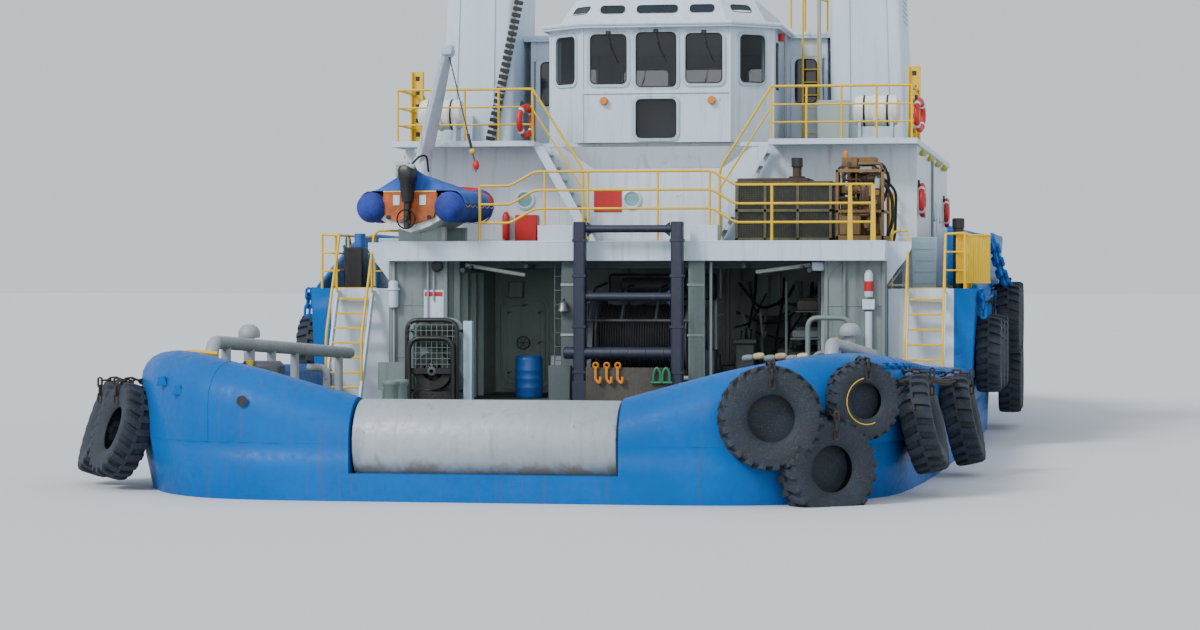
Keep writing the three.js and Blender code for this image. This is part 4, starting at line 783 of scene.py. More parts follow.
# Keel, nozzles, rudders and propellers
keel = Piece("keel_bar", "hull_blue", replaces=["keel"])
keel.add("antifouling",
         slab([(-14.0, -0.75), (-13.2, -4.15), (9.0, -4.15), (11.5, -3.7), (11.5, -3.0)], "yz", -0.25, 0.25, 0.03))
keel.done()
PROP, RUDDER_Y = (2.5, -15.0, -2.6), -16.45
for s, name in SIDES:
    x, y, z = s * PROP[0], PROP[1], PROP[2]
    nozzle = Piece(f"nozzle_skin_{name}", "hull_blue", replaces=[f"nozzle_{name}"])
    section = [(1.22, -0.55), (1.235, 0.2), (1.3, 0.5), (1.345, 0.56), (1.38, 0.52), (1.385, 0.3), (1.36, -0.3),
               (1.345, -0.54), (1.28, -0.565)]
    nozzle.add("antifouling", lathe(section, (x, y, z), (0, 1, 0), 64, True),
               slab([(y - 0.3, z + 1.29), (y + 0.4, z + 1.29), (y + 0.5, -0.75), (y - 0.4, -0.75)], "yz", x - 0.19,
                    x + 0.19, 0.04), tube([(x, yy, z) for yy in (y + 0.75, y + 1.4, y + 6.3)], 0.26, 24),
               slab([(y + 0.5, z), (y + 1.65, z), (y + 1.65, -0.95), (y + 0.5, -0.8)], "yz", x - 0.05, x + 0.05,
                    0.015))
    nozzle.done()
    rudder = Piece(f"rudder_blade_{name}", "hull_blue", f"rudder_{name}", [f"rudder_{name}"])
    side_line = [(0.0, 0.42), (0.05, 0.39), (0.09, 0.3), (0.115, 0.15), (0.125, 0.0), (0.12, -0.2), (0.095, -0.4),
                 (0.06, -0.6), (0.03, -0.8), (0.008, -1.0)]
    outline = side_line + [(-a, b) for a, b in reversed(side_line[1:])]
    rudder.add("antifouling", slab([(x + a, RUDDER_Y + b) for a, b in outline], "xy", -3.75, -1.13, 0.012),
               can(x, RUDDER_Y, -1.2, -0.74, 0.122, 24, 0.01))
    rudder.done()
    prop = Piece(f"propeller_blades_{name}", "propeller_bronze", f"prop_{name}", [f"propeller_{name}"])
    prop.add("bronze",
             lathe([(0.02, -0.62), (0.09, -0.6), (0.18, -0.45), (0.27, -0.31), (0.29, 0.0), (0.29, 0.3), (0.13, 0.33),
                    (0.13, 2.47)], (x, y, z), (0, 1, 0), 40))
    for blade in range(4):
        rows = []
        for r, chord, pitch in ((0.22, 0.30, 62), (0.4, 0.46, 50), (0.6, 0.6, 40), (0.8, 0.68, 34), (0.98, 0.66, 30),
                                (1.1, 0.5, 28), (1.165, 0.22, 27)):
            turn = math.radians(pitch)
            row = []
            for k in range(12):
                t = 2 * math.pi * k / 12
                a, b = math.cos(t) * chord / 2, math.sin(t) * 0.028 * (1.4 - r)
                row.append((a * math.cos(turn) * 0.85 - b * math.sin(turn),
                            s * (a * math.sin(turn) * 0.75 + b * math.cos(turn)), r))
            rows.append(row)
        prop.add("bronze", moved(moved(loft(rows), turn=(0, 90 * blade, 0)), (x, y, z)))
    prop.done()


# Tyre fenders


def tyre_shape(lugs=22, sides=44):
    """Earth-mover tyre about the X axis: hollow carcass with lugs in two staggered rows."""
    half = [(0.35, 0.15), (0.375, 0.185), (0.46, 0.222), (0.56, 0.243), (0.64, 0.25), (0.69, 0.238), (0.712, 0.2),
            (0.722, 0.1)]
    inner = [(0.37, 0.12), (0.48, 0.175), (0.58, 0.2), (0.66, 0.17), (0.68, 0.08)]
    profile = [(r, -x) for r, x in half] + [(r, x) for r, x in reversed(half)]
    profile += [(r, x) for r, x in inner] + [(r, -x) for r, x in reversed(inner)]
    shapes = [lathe(profile, (0, 0, 0), (1, 0, 0), sides, True)]
    step = 2 * math.pi / lugs
    for row in (-1, 1):
        for k in range(lugs):
            start = (k + (0.5 if row > 0 else 0)) * step
            rings = []
            for along, low, high, shift, wide in ((-0.02, 0.7, 0.775, 0.0, 0.3), (0.1, 0.7, 0.775, 0.12, 0.29),
                                                  (0.19, 0.69, 0.768, 0.26, 0.27), (0.238, 0.66, 0.745, 0.33, 0.26),
                                                  (0.2495, 0.6, 0.69, 0.36, 0.23)):
                ring = []
                for r, side in ((low, -1), (high, -0.82), (high, 0.82), (low, 1)):
                    t = start + (shift + side * wide) * step
                    ring.append((row * along, r * math.cos(t), r * math.sin(t)))
                rings.append(ring)
            shapes.append(loft(rings))
    # Ribs moulded round the bead
    for x in (-1, 1):
        shapes.append(lathe([(0.425, x * 0.2), (0.44, x * 0.216), (0.455, x * 0.213)], (0, 0, 0), (1, 0, 0), sides,
                            True))
    return merged(*shapes)


TYRE = tyre_shape()


def place_tyre(center, facing, lean, spin, size=1):
    turned = moved(moved(TYRE, turn=(spin, 0, 0)), turn=(0, lean, 0))
    return moved(turned, center, (0, 0, facing), [size] * 3)


# Disc of tyre rubber that closes the hole of a tyre from behind: a dark sheet put in for the shade inside the hole
HOLE_SHADE_DISC = lathe([(0.001, -0.15), (0.42, -0.15), (0.42, -0.09), (0.001, -0.09)], (0, 0, 0), (1, 0, 0), 24)


QUARTER = {
    # x, y, z, facing, lean, size
    "starboard": [(4.33, -18.77, 1.31, -76, 0, 1), (5.13, -18.35, 0.55, -52, 0, 1), (5.6, -17.75, 1.53, -56, 0, 0.77),
                  (6.42, -16.15, 1.12, -3, -13, 1), (6.83, -11.4, 0.95, -2, -12, 1)],
    "port": [(-6.255, -16.845, 0.93, -143, -18, 1), (-6.88, -15.8, 0.9, -155, -18, 1)],
}
for name, rows in QUARTER.items():
    piece = Piece(f"quarter_tyres_worn_{name}", "tyre_rubber", replaces=[f"quarter_tyres_{name}"])
    for i, (x, y, z, facing, lean, size) in enumerate(rows):
        # Each tyre with the dark disc that stands for the shade in its hole
        piece.add("rubber", place_tyre((x, y, z), facing, lean, 9 * i, size),
                  moved(moved(HOLE_SHADE_DISC, turn=(0, lean, 0)), (x, y, z), (0, 0, facing), [size] * 3))
        out = Vector((math.cos(math.radians(facing)), math.sin(math.radians(facing)), 0))
        top = Vector((x, y, z)) + Vector((0, 0, 0.55 * size)) + out * (math.sin(math.radians(lean)) * 0.55)
        inboard = Vector((x, y, min(z + 0.75, 2.0))) - out * 0.42
        reach, lift = 0.27 * size, 0.24 * size
        piece.add("chain",
                  chain([top + out * reach - Vector((0, 0, 0.1)), top + out * reach + Vector((0, 0, lift)),
                         top - out * 0.05 + Vector((0, 0, lift + 0.03)), inboard], 0.018, 0.13))
    for a, b in zip(rows, rows[1:]):
        if abs(a[1] - b[1]) > 3:
            start, end = Vector((a[0] + 0.1, a[1] + 0.1, 1.82)), Vector((b[0] - 0.12, b[1], 1.62))
        else:
            start, end = (Vector(row[:3]) + Vector((0, 0, 0.6 * row[5])) for row in (a, b))
        piece.add("chain", chain([start, end], 0.02, 0.15, 0.05))
    piece.done()
# Old yellow mark round the hole of the third starboard tyre
x, y, z, facing, _, size = QUARTER["starboard"][2]
mark = Piece("tyre_mark", "rail_yellow")
arc = [(0.2185, 0.452 * math.cos(math.radians(t)), 0.452 * math.sin(math.radians(t))) for t in range(100, 300, 8)]
mark.add("yellow", moved(tube(arc, 0.011, 6), (x, y, z), (0, 0, facing), [size] * 3))
mark.done()

SIDE_TYRES = [
    # y, x, z
    (-2.3, 6.975, 1.84), (-0.85, 6.995, 1.84), (0.6, 7.02, 1.84), (2.5, 7.23, 2.5), (4.0, 7.23, 2.5),
    (4.0, 7.23, 1.15), (5.5, 7.23, 2.5), (5.5, 7.23, 1.15),
]
for s, name in SIDES:
    piece = Piece(f"side_tyres_worn_{name}", "tyre_rubber", replaces=[f"side_tyres_{name}"])
    for i, (y, x, z) in enumerate(SIDE_TYRES):
        # Each tyre with the dark disc that stands for the shade in its hole
        piece.add("rubber", place_tyre((s * x, y, z), 0, 0, 7 * i),
                  moved(HOLE_SHADE_DISC, (s * x, y, z), (0, 0, 0 if s > 0 else 180)))
        high = 3.12 if z > 1.5 else z + 1.1
        for dy in (-0.18, 0.18):
            piece.add("chain",
                      chain([(s * (x - 0.02), y + dy * 0.6, z + 0.5), (s * (x - 0.1), y + dy, z + 0.8),
                             (s * 6.87, y + dy * 1.3, high)], 0.018, 0.13))
    piece.done()

# Blue chains hung over the shell above the side tyres
for s, name in SIDES:
    nets = Piece(f"shell_chains_{name}", "hull_blue")
    for k in range(9):
        y = -3.3 + 0.36 * k
        nets.add("blue", chain([(s * 6.85, y, 3.12), (s * 6.88, y + 0.05, 2.9), (s * 6.89, y, 2.6)], 0.028, 0.2))
    nets.add("blue", chain([(s * 6.87, -3.4, 3.0), (s * 6.92, -0.3, 3.0)], 0.028, 0.2, 0.03),
             chain([(s * 6.93, 0.2, 4.2), (s * 7.0, 0.7, 3.9), (s * 7.12, 1.6, 3.4), (s * 7.2, 2.2, 3.2)], 0.05,
                   0.3))
    nets.done()


# Decks, shelter and house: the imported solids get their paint, and the details are laid on them
KEPT = {
    "boat_deck": "white_decked", "house": "white_decked", "bridge_deck": "white_decked",
    "shelter_walls": "casing_decked", "wheelhouse_walls": "white", "wheelhouse_roof": "white",
    "wheelhouse_consoles": "interior", "boat_cradle": "casing",
}
for node, mat in KEPT.items():
    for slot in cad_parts[node].material_slots:
        slot.material = MAT[mat]


# Yellow rail along the edge of the boat deck
RAIL_BENDS = [(-3.08, 5.2), (-2.46, 5.2), (-1.96, 5.48), (1.6, 5.48), (2.06, 5.2), (4.78, 5.2)]
RAIL_POSTS = [(-3.08, BOAT_DECK, 0.03), (-1.76, 4.41, 0.024), (-0.88, BOAT_DECK, 0.024), (0.52, BOAT_DECK, 0.024),
              (1.56, 4.41, 0.024), (2.79, BOAT_DECK, 0.03)]


def rail_top(x):
    for (x0, z0), (x1, z1) in zip(RAIL_BENDS, RAIL_BENDS[1:]):
        if x <= x1:
            return z0 + (z1 - z0) * (x - x0) / (x1 - x0)
    return RAIL_BENDS[-1][1]


piece = Piece("boat_deck_rail_pipes", "rail_yellow", replaces=["boat_deck_rail"])
for drop in (0, 0.37, 0.74):
    piece.add("yellow", pipe([(x, -4.2, z - drop) for x, z in RAIL_BENDS], 0.026, 10, 0.1))
for x, foot, radius in RAIL_POSTS:
    piece.add("yellow", post(x, -4.2, foot, rail_top(x), radius, 10),
              lathe([(0.065, 0), (0.065, 0.012), (radius, 0.016)], (x, -4.2, foot), sides=12))
for x in (4.33, 4.78):
    # Broad flat posts of the removable gate
    piece.add("yellow",
              moved(slab([(-0.055, 0), (0.055, 0), (0.035, 1.12), (-0.035, 1.12)], "xz", -0.022, 0.022, 0.006),
                    (x, -4.2, BOAT_DECK)), block((x - 0.09, -4.27, BOAT_DECK), (x + 0.09, -4.13, 4.1), 0.004))
piece.done()

# Rails of the bridge deck with the handrails beside the stairs
for s, name in SIDES:
    piece = Piece(f"bridge_rail_pipes_{name}", "rail_yellow", replaces=[f"bridge_rail_{name}"])
    for drop, r in ((0, 0.028), (0.374, 0.02), (0.737, 0.02)):
        z = 7.3 - drop
        piece.add("yellow", pipe([(s * 2.5, -1.6, z), (s * 5.38, -1.6, z), (s * 5.38, 0.9, z)], r, 10, 0.08))
    for x in (2.5, 3.22, 3.94, 4.66, 5.38):
        piece.add("yellow", post(s * x, -1.6, BRIDGE_DECK, 7.3, 0.025, 10))
    for y in (-0.35, 0.9):
        piece.add("yellow", post(s * 5.38, y, BRIDGE_DECK, 7.3, 0.025, 10))
    piece.add("yellow",
              pipe([(s * 2.5, -1.606, 7.3), (s * 1.43, -1.606, 5.62), (s * 1.43, -1.606, 4.1)], 0.027, 10, 0.16),
              rod((s * 2.5, -1.606, 6.88), (s * 1.43, -1.606, 5.2), 0.02, 10))
    # Channel post at the deck edge, with its ladder of bolt holes
    x = s * 5.33
    piece.add("yellow", block((x - 0.13, 0.04, BRIDGE_DECK), (x + 0.13, 0.08, 7.8), 0.006),
              block((x - 0.13, -0.05, BRIDGE_DECK), (x - 0.1, 0.08, 7.8), 0.006),
              block((x + 0.1, -0.05, BRIDGE_DECK), (x + 0.13, 0.08, 7.8), 0.006))
    for z in (6.45, 6.75, 7.05, 7.35, 7.65):
        piece.add("black", block((x - 0.045, 0.03, z - 0.05), (x + 0.045, 0.085, z + 0.05), 0.01))
    piece.done()

# Ladders up to the side decks: white strings, yellow rungs, handrails and the rail beside their heads
for s, name in SIDES:
    piece = Piece(f"ladder_pipes_{name}", "rail_yellow", replaces=[f"ladder_{name}"])
    x0, x1 = 5.4, 6.18
    foot, head = (-4.7, 0.87), (-3.56, 3.11)
    for x in (x0, x1 - 0.05):
        outline = [(foot[0] - 0.09, foot[1]), (foot[0] + 0.09, foot[1]), (head[0] + 0.05, head[1]),
                   (head[0] - 0.13, head[1])]
        piece.add("white", slab(outline, "yz", x, x + 0.05, 0.006), side=s)
    for step in range(1, 8):
        t = step / 7.6
        y, z = foot[0] + (head[0] - foot[0]) * t, foot[1] + (head[1] - foot[1]) * t
        piece.add("yellow", block((x0 + 0.03, y - 0.09, z - 0.018), (x1 - 0.03, y + 0.09, z + 0.018), 0.006), side=s)
        for k in range(5):
            piece.add("yellow",
                      rod((x0 + 0.06, y - 0.07 + 0.035 * k, z + 0.02), (x1 - 0.06, y - 0.07 + 0.035 * k, z + 0.02),
                          0.004, 4), side=s)
    for x in (x0 + 0.025, x1 - 0.025):
        piece.add("yellow", pipe([(x, -4.56, 1.12), (x, -4.56, 2.2), (x, -3.5, 4.23)], 0.027, 10, 0.2),
                  post(x, -3.7, 2.87, 3.85, 0.022, 10), side=s)
    # Head of the ladder: level top rail into the side rail
    piece.add("yellow", pipe([(x1 - 0.025, -3.5, 4.23), (6.53, -3.44, 4.25), (6.53, 0.9, 4.25)], 0.026, 10, 0.1),
              side=s)
    for level in (0.363, 0.726):
        piece.add("yellow", rod((6.53, -3.44, SIDE_DECK + level), (6.53, 0.9, SIDE_DECK + level), 0.019, 10),
                  rod((x1 - 0.02, -3.47, SIDE_DECK + level), (6.53, -3.44, SIDE_DECK + level), 0.019, 10), side=s)
    for y in (-3.44, -2.355, -1.27, -0.185, 0.9):
        piece.add("yellow", post(6.53, y, SIDE_DECK, 4.25, 0.026, 10), side=s)
    if s < 0:
        # Open rail across the after edge, with a small arch over the ladder
        for z, r in ((4.25, 0.026), (3.87, 0.018), (3.5, 0.018)):
            piece.add("yellow", rod((-6.53, -3.45, z), (-6.18, -3.45, z), r, 10))
        piece.add("yellow",
                  pipe([(-5.42, -3.46, 3.2), (-5.42, -3.46, 4.32), (-4.85, -3.46, 4.32), (-4.85, -3.46, 4.1)], 0.024,
                       10, 0.14))
        for z in (3.87, 3.5):
            piece.add("yellow", rod((-5.42, -3.46, z), (-5.05, -3.46, z), 0.018, 10))
    else:
        # Slatted yellow panel that faces aft
        panel = [block((0, -0.006, 3.27), (0.8, 0.006, 4.21), 0.004)]
        panel += [block((0.02 + 0.055 * k, -0.014, 3.3), (0.05 + 0.055 * k, -0.006, 4.18), 0.003) for k in range(14)]
        panel += [rod((0.0, -0.01, z), (0.8, -0.01, z), 0.018, 8) for z in (3.27, 4.21)]
        piece.add("yellow", *(moved(shape, (6.36, -3.42, 0), (0, 0, 35.4)) for shape in panel),
                  pipe([(5.1, -3.46, 3.18), (5.1, -3.46, 4.28), (5.42, -3.47, 4.3)], 0.024, 10, 0.12))
    # Toe plate and coaming of the side deck
    piece.add("yellow", block((5.38, -3.5, 3.1), (6.2, -3.47, 3.17), 0.006), side=s)
    piece.done()

# Heavy pipe rails of the working deck, with vents
CRASH_POSTS = (-15.3, -13.9, -11.1, -8.0)
VENTS = {"port": (-5.4, -12.6, 2.44), "starboard": (4.74, -9.3, 2.44)}
for s, name in SIDES:
    piece = Piece(f"crash_rail_pipes_{name}", "pipe_grey", replaces=[f"crash_rail_{name}"])
    x = s * 5.0
    vx, vy, top = VENTS[name]
    piece.add("pipe", pipe([(x, -16.1, DECK), (x, -16.1, 2.34), (x, -7.2, 1.93)], 0.11, 24, 0.3))
    for y in (*CRASH_POSTS, vy):
        piece.add("pipe", post(x, y, DECK, 2.29 - 0.41 * (y + 16.1) / 8.9, 0.08, 16),
                  lathe([(0.16, 0), (0.16, 0.018), (0.085, 0.03)], (x, y, DECK), sides=20))
    piece.add("pipe", lathe([(0.2, 0), (0.2, 0.02), (0.115, 0.04)], (x, -16.1, DECK), sides=24),
              can(vx, vy, DECK, top, 0.095, 24, 0.005),
              lathe([(0.1, top - 0.1), (0.18, top - 0.11), (0.19, top - 0.09), (0.19, top - 0.01), (0.16, top + 0.06),
                     (0.09, top + 0.115), (0.02, top + 0.12)], (vx, vy, 0), sides=32))
    piece.add("pipe", block((min(x, vx), vy - 0.04, 1.5), (max(x, vx), vy + 0.04, 1.58), 0.01))
    # Small yellow post and a bent pipe beside the rail
    piece.add("yellow", post(s * 4.6, -15.3, DECK, 2.02, 0.06, 14))
    if s < 0:
        piece.add("pipe", pipe([(-4.6, -10.4, DECK), (-4.6, -10.4, 1.75), (-4.95, -10.4, 1.75)], 0.07, 14, 0.16))
        piece.add("yellow", pipe([(-5.5, -16.75, 2.1), (-5.2, -16.6, 2.2), (-4.75, -16.6, 2.16)], 0.035, 8, 0.06))
    piece.done()

for s, name in SIDES:
    piece = Piece(f"bollards_cast_{name}", "deck_green", replaces=[f"bollards_{name}"])
    for y in (-10.85, -10.15):
        piece.add("sea_green",
                  lathe([(0.17, 0.87), (0.14, 0.94), (0.13, 1.05), (0.13, 1.42), (0.155, 1.46), (0.16, 1.5),
                         (0.15, 1.53), (0.02, 1.53)], (s * 3.3, y, 0), sides=28))
    piece.add("sea_green", block((s * 3.3 - 0.22, -11.1, DECK), (s * 3.3 + 0.22, -9.9, 0.92), 0.012))
    piece.done()

# Tow gate of dark tubes, with rings on its lowest pipe and a sill
GATE_Y = -4.62
piece = Piece("tow_frame_tubes", "frame_dark", replaces=["tow_frame"])
for s in (-1, 1):
    x = s * 0.97
    piece.add("navy", moved(slab(rounded_rect(0.24, 0.26, 0.05), "xy", DECK, 4.47, 0.02), (x, GATE_Y, 0)))
    for z in (1.5, 2.4, 3.4, 4.1):
        piece.add("navy", block((x - 0.138, -4.76, z - 0.03), (x + 0.138, -4.48, z + 0.03), 0.008))
    for z in (4.33, 2.99, 1.88):
        piece.add("navy",
                  slab([(s * 0.83, z - 0.16), (s * 0.62, z), (s * 0.83, z + 0.14)], "xz", -4.63, -4.61, 0.003))
for z, radius in ((4.33, 0.075), (2.99, 0.085)):
    piece.add("navy", drum((-1.0, GATE_Y, z), (1.0, GATE_Y, z), radius, 28, 0.004))
piece.add("navy", drum((-1.29, GATE_Y, 1.88), (1.0, GATE_Y, 1.88), 0.12, 32, 0.02))
for x in (-0.7, -0.35, 0, 0.35, 0.7):
    piece.add("navy", lathe([(0.119, -0.02), (0.126, 0), (0.119, 0.02)], (x, GATE_Y, 1.88), (1, 0, 0), 32, True))
piece.add("navy", block((-1.11, -4.76, DECK), (1.11, -4.48, 1.33), 0.02))
piece.add("sill", block((-0.83, -4.78, 0.95), (0.84, -4.755, 1.6), 0.01))
# Orange hooks and green shackles hung on the sill
for x in (-0.62, -0.4, -0.18):
    piece.add("orange",
              pipe([(x, -4.83, 1.62), (x, -4.85, 1.36), (x + 0.09, -4.88, 1.28), (x + 0.1, -4.86, 1.42)], 0.028, 8,
                   0.05),
              lathe([(0.05, -0.02), (0.07, 0), (0.05, 0.02), (0.03, 0)], (x, -4.83, 1.64), (0, 1, 0), 14, True))
for x in (0.6, 0.78):
    piece.add("green",
              pipe([(x - 0.07, -4.84, 1.3), (x - 0.07, -4.84, 1.5), (x, -4.84, 1.62), (x + 0.07, -4.84, 1.5),
                    (x + 0.07, -4.84, 1.3)], 0.026, 8, 0.06),
              rod((x - 0.12, -4.84, 1.31), (x + 0.12, -4.84, 1.31), 0.024, 8))
piece.done()

# Tow winch: plated cheeks, motor, drum wound with wire. Y and Z of its axle
WINCH = (-2.2, 2.15)
piece = Piece("winch_bed", "frame_dark", replaces=["winch_base"])
piece.add("winch", block((-1.5, -3.3, DECK), (1.5, -1.1, 1.13), 0.02))
for s in (-1, 1):
    x = s * 1.08
    piece.add("winch",
              slab([(-3.2, 1.1), (-1.2, 1.1), (-1.75, 2.55), (-2.65, 2.55)], "yz", x - 0.06, x + 0.06, 0.012),
              lathe([(0.1, 0), (0.24, 0), (0.24, 0.05), (0.2, 0.075), (0.1, 0.08)], (x + s * 0.06, *WINCH), (s, 0, 0),
                    28))
    for y0, y1 in ((-3.1, -2.62), (-1.3, -1.78)):
        piece.add("winch", tube([(x + s * 0.07, y0, 1.14), (x + s * 0.07, y1, 2.45)], 0.03, 8))
piece.add("winch", block((1.13, -2.6, 1.1), (1.45, -1.8, 1.9), 0.03),
          drum((1.1, -1.9, 1.6), (1.48, -1.9, 1.6), 0.22, 24, 0.02))
piece.add("pipe", pipe([(1.4, -2.0, 1.9), (1.4, -2.0, 2.9), (1.4, -1.2, 2.9), (1.4, -1.2, 3.6)], 0.035, 10),
          pipe([(1.3, -2.1, 1.9), (1.3, -2.1, 2.6), (1.5, -1.6, 2.6)], 0.025, 8))
# Gear case and guards over the drum, control stand and hoses to starboard
piece.add("winch", block((-0.95, -1.25, 2.9), (1.3, -0.95, 3.45), 0.05),
          block((-1.35, -1.5, 1.13), (-1.14, -1.0, 3.0), 0.02),
          drum((-0.6, -1.6, 3.2), (0.7, -1.6, 3.2), 0.16, 24, 0.02),
          drum((0.75, -1.7, 3.27), (1.05, -1.7, 3.27), 0.24, 28, 0.03))
for x in (-1.0, -0.35, 0.35, 1.0):
    piece.add("winch", pipe([(x, -3.32, 2.5), (x, -2.7, 3.15), (x, -1.2, 3.25)], 0.03, 8))
piece.add("winch", rod((-1.14, -3.32, 2.5), (1.14, -3.32, 2.5), 0.035, 10),
          rod((-1.14, -3.3, 1.1), (-1.14, -3.32, 2.5), 0.03, 8), rod((1.14, -3.3, 1.1), (1.14, -3.32, 2.5), 0.03, 8))
piece.add("shade_grey", block((1.75, -1.6, DECK), (2.15, -1.2, 2.0), 0.03),
          block((1.7, -1.65, 2.0), (2.2, -1.15, 2.1), 0.02), block((2.5, -0.6, DECK), (3.5, -0.2, 1.9), 0.03),
          can(2.45, -2.6, DECK, 1.5, 0.18, 20, 0.02))
for k in range(7):
    x = 1.62 + 0.3 * k
    piece.add(("pipe", "hose", "pipe", "chain")[k % 4],
              pipe([(x, 0.75, 3.5 - 0.05 * k), (x + 0.04, 0.3, 3.0), (x - 0.1, -0.2, 2.2 - 0.12 * k),
                    (x + 0.1, -0.5, 1.3)], 0.024 + 0.004 * (k % 3), 8, 0.3))
for x, z in ((1.95, 2.3), (1.85, 2.25), (2.05, 2.28)):
    piece.add("black", rod((x, -1.4, 2.1), (x + 0.02, -1.46, z), 0.012, 6),
              lathe([(0.001, -0.03), (0.03, 0), (0.001, 0.03)], (x + 0.02, -1.46, z), sides=12))
# Brake lever, spooling bar and guard rails round the winch
piece.add("pipe", rod((-1.45, -2.9, 1.1), (-1.45, -3.05, 2.3), 0.025, 8),
          rod((-1.2, -3.45, 1.35), (1.2, -3.45, 1.35), 0.05, 14))
for x in (-1.2, 1.2):
    piece.add("winch", block((x - 0.05, -3.5, 0.87), (x + 0.05, -3.4, 1.4), 0.01))
piece.done()

piece = Piece("winch_drum_wound", "frame_dark", "winch_drum", ["winch_drum"])
for s in (-1, 1):
    low = 0.89 if s > 0 else -0.95
    piece.add("winch",
              lathe([(0.2, 0), (0.86, 0), (0.9, 0.02), (0.9, 0.045), (0.86, 0.06), (0.2, 0.06)], (low, *WINCH),
                    (1, 0, 0), 48))
    for k in range(8):
        t = 2 * math.pi * k / 8
        spoke = [(s * 0.952, WINCH[0] + reach * math.cos(t), WINCH[1] + reach * math.sin(t))
                 for reach in (0.25, 0.85)]
        piece.add("winch", tube(spoke, 0.014, 6))
core = [(0.12, -1.14), (0.12, -0.95), (0.42, -0.9), (0.42, 0.9), (0.12, 0.95), (0.12, 1.14)]
piece.add("winch", lathe(core, (0, *WINCH), (1, 0, 0), 32))
for n in range(34):
    r = 0.64 + 0.015 * math.sin(n * 0.9)
    turn = [(r, -0.026), (r + 0.02, -0.013), (r + 0.026, 0), (r + 0.02, 0.013), (r, 0.026)]
    piece.add("wire", lathe(turn, (n * 0.052 - 0.86, *WINCH), (1, 0, 0), 32))
piece.done()

# Hose reel in its two round-topped frames, with its axle along Y
REEL_X, REEL_Z = -3.99, 1.5
piece = Piece("reel_frame_pipes", "deck_green", replaces=["reel_frame"])
for y, mat in ((-4.52, "black"), (-4.02, "sea_green")):
    piece.add(mat, pipe([(-4.5, y, DECK), (-4.5, y, 2.52), (-3.48, y, 2.52), (-3.48, y, DECK)], 0.045, 12, 0.24))
    piece.add(mat, block((-4.5, y - 0.03, 1.44), (-3.48, y + 0.03, 1.56), 0.01))
    piece.add("winch",
              lathe([(0.04, -0.05), (0.09, -0.04), (0.09, 0.04), (0.04, 0.05)], (REEL_X, y, REEL_Z), (0, 1, 0), 20,
                    True))
piece.add("black",
          pipe([(-4.44, -4.6, DECK), (-4.44, -4.6, 2.16), (-3.54, -4.6, 2.16), (-3.54, -4.6, DECK)], 0.05, 12, 0.26))
for z in (2.3, 1.1):
    for x in (-4.5, -3.48):
        piece.add("black", rod((x, -4.52, z), (x, -4.02, z), 0.03, 10))
piece.add("hose", block((-4.36, -4.3, 1.95), (-3.62, -4.06, 2.42), 0.06),
          block((-4.4, -4.44, DECK), (-3.58, -4.1, 1.1), 0.04))
# Wire grid over the upper half
for k in range(9):
    x = -4.42 + 0.108 * k
    piece.add("sea_green", post(x, -4.56, 1.56, 2.45, 0.006, 5))
for k in range(8):
    z = 1.64 + 0.112 * k
    piece.add("sea_green", rod((-4.47, -4.56, z), (-3.51, -4.56, z), 0.006, 5))
piece.done()

piece = Piece("hose_reel_wound", "black_paint", "hose_reel", ["hose_reel"])
for y0 in (-4.45, -4.12):
    piece.add("black",
              lathe([(0.2, 0), (0.37, 0), (0.38, 0.01), (0.38, 0.02), (0.37, 0.03), (0.2, 0.03)],
                    (REEL_X, y0, REEL_Z), (0, 1, 0), 36, True))
    for k in range(6):
        t = math.pi * k / 3
        piece.add("black",
                  rod((REEL_X, y0 + 0.015, REEL_Z),
                      (REEL_X + 0.21 * math.cos(t), y0 + 0.015, REEL_Z + 0.21 * math.sin(t)), 0.014, 6))
piece.add("black", drum((REEL_X, -4.55, REEL_Z), (REEL_X, -3.99, REEL_Z), 0.035, 16, 0.004))
for layer, r in enumerate((0.25, 0.295, 0.335)):
    for k in range(6 - layer % 2):
        y = -4.395 + 0.045 * k + (0.0225 if layer % 2 else 0)
        piece.add("hose", lathe([(r + a, b) for a, b in circle(0.022, 8)], (REEL_X, y, REEL_Z), (0, 1, 0), 32, True))
piece.done()

# Ribbed plastic barrel
profile = [(0.26, 0.0), (0.275, 0.012), (0.284, 0.05)]
for z in (0.22, 0.4, 0.58):
    profile += [(0.282, z - 0.035), (0.29, z - 0.015), (0.29, z + 0.015), (0.282, z + 0.035)]
profile += [(0.284, 0.79), (0.278, 0.83), (0.262, 0.85), (0.262, 0.868), (0.24, 0.875), (0.235, 0.855), (0.02, 0.85)]
piece = Piece("barrel_ribbed", "barrel_blue", replaces=["barrel"])
piece.add("barrel", lathe(profile, (-2.5, -2.0, 0.872), sides=40), can(-2.38, -2.0, 1.72, 1.75, 0.035, 14, 0.004),
          can(-2.62, -2.0, 1.72, 1.745, 0.025, 14, 0.004))
piece.done()

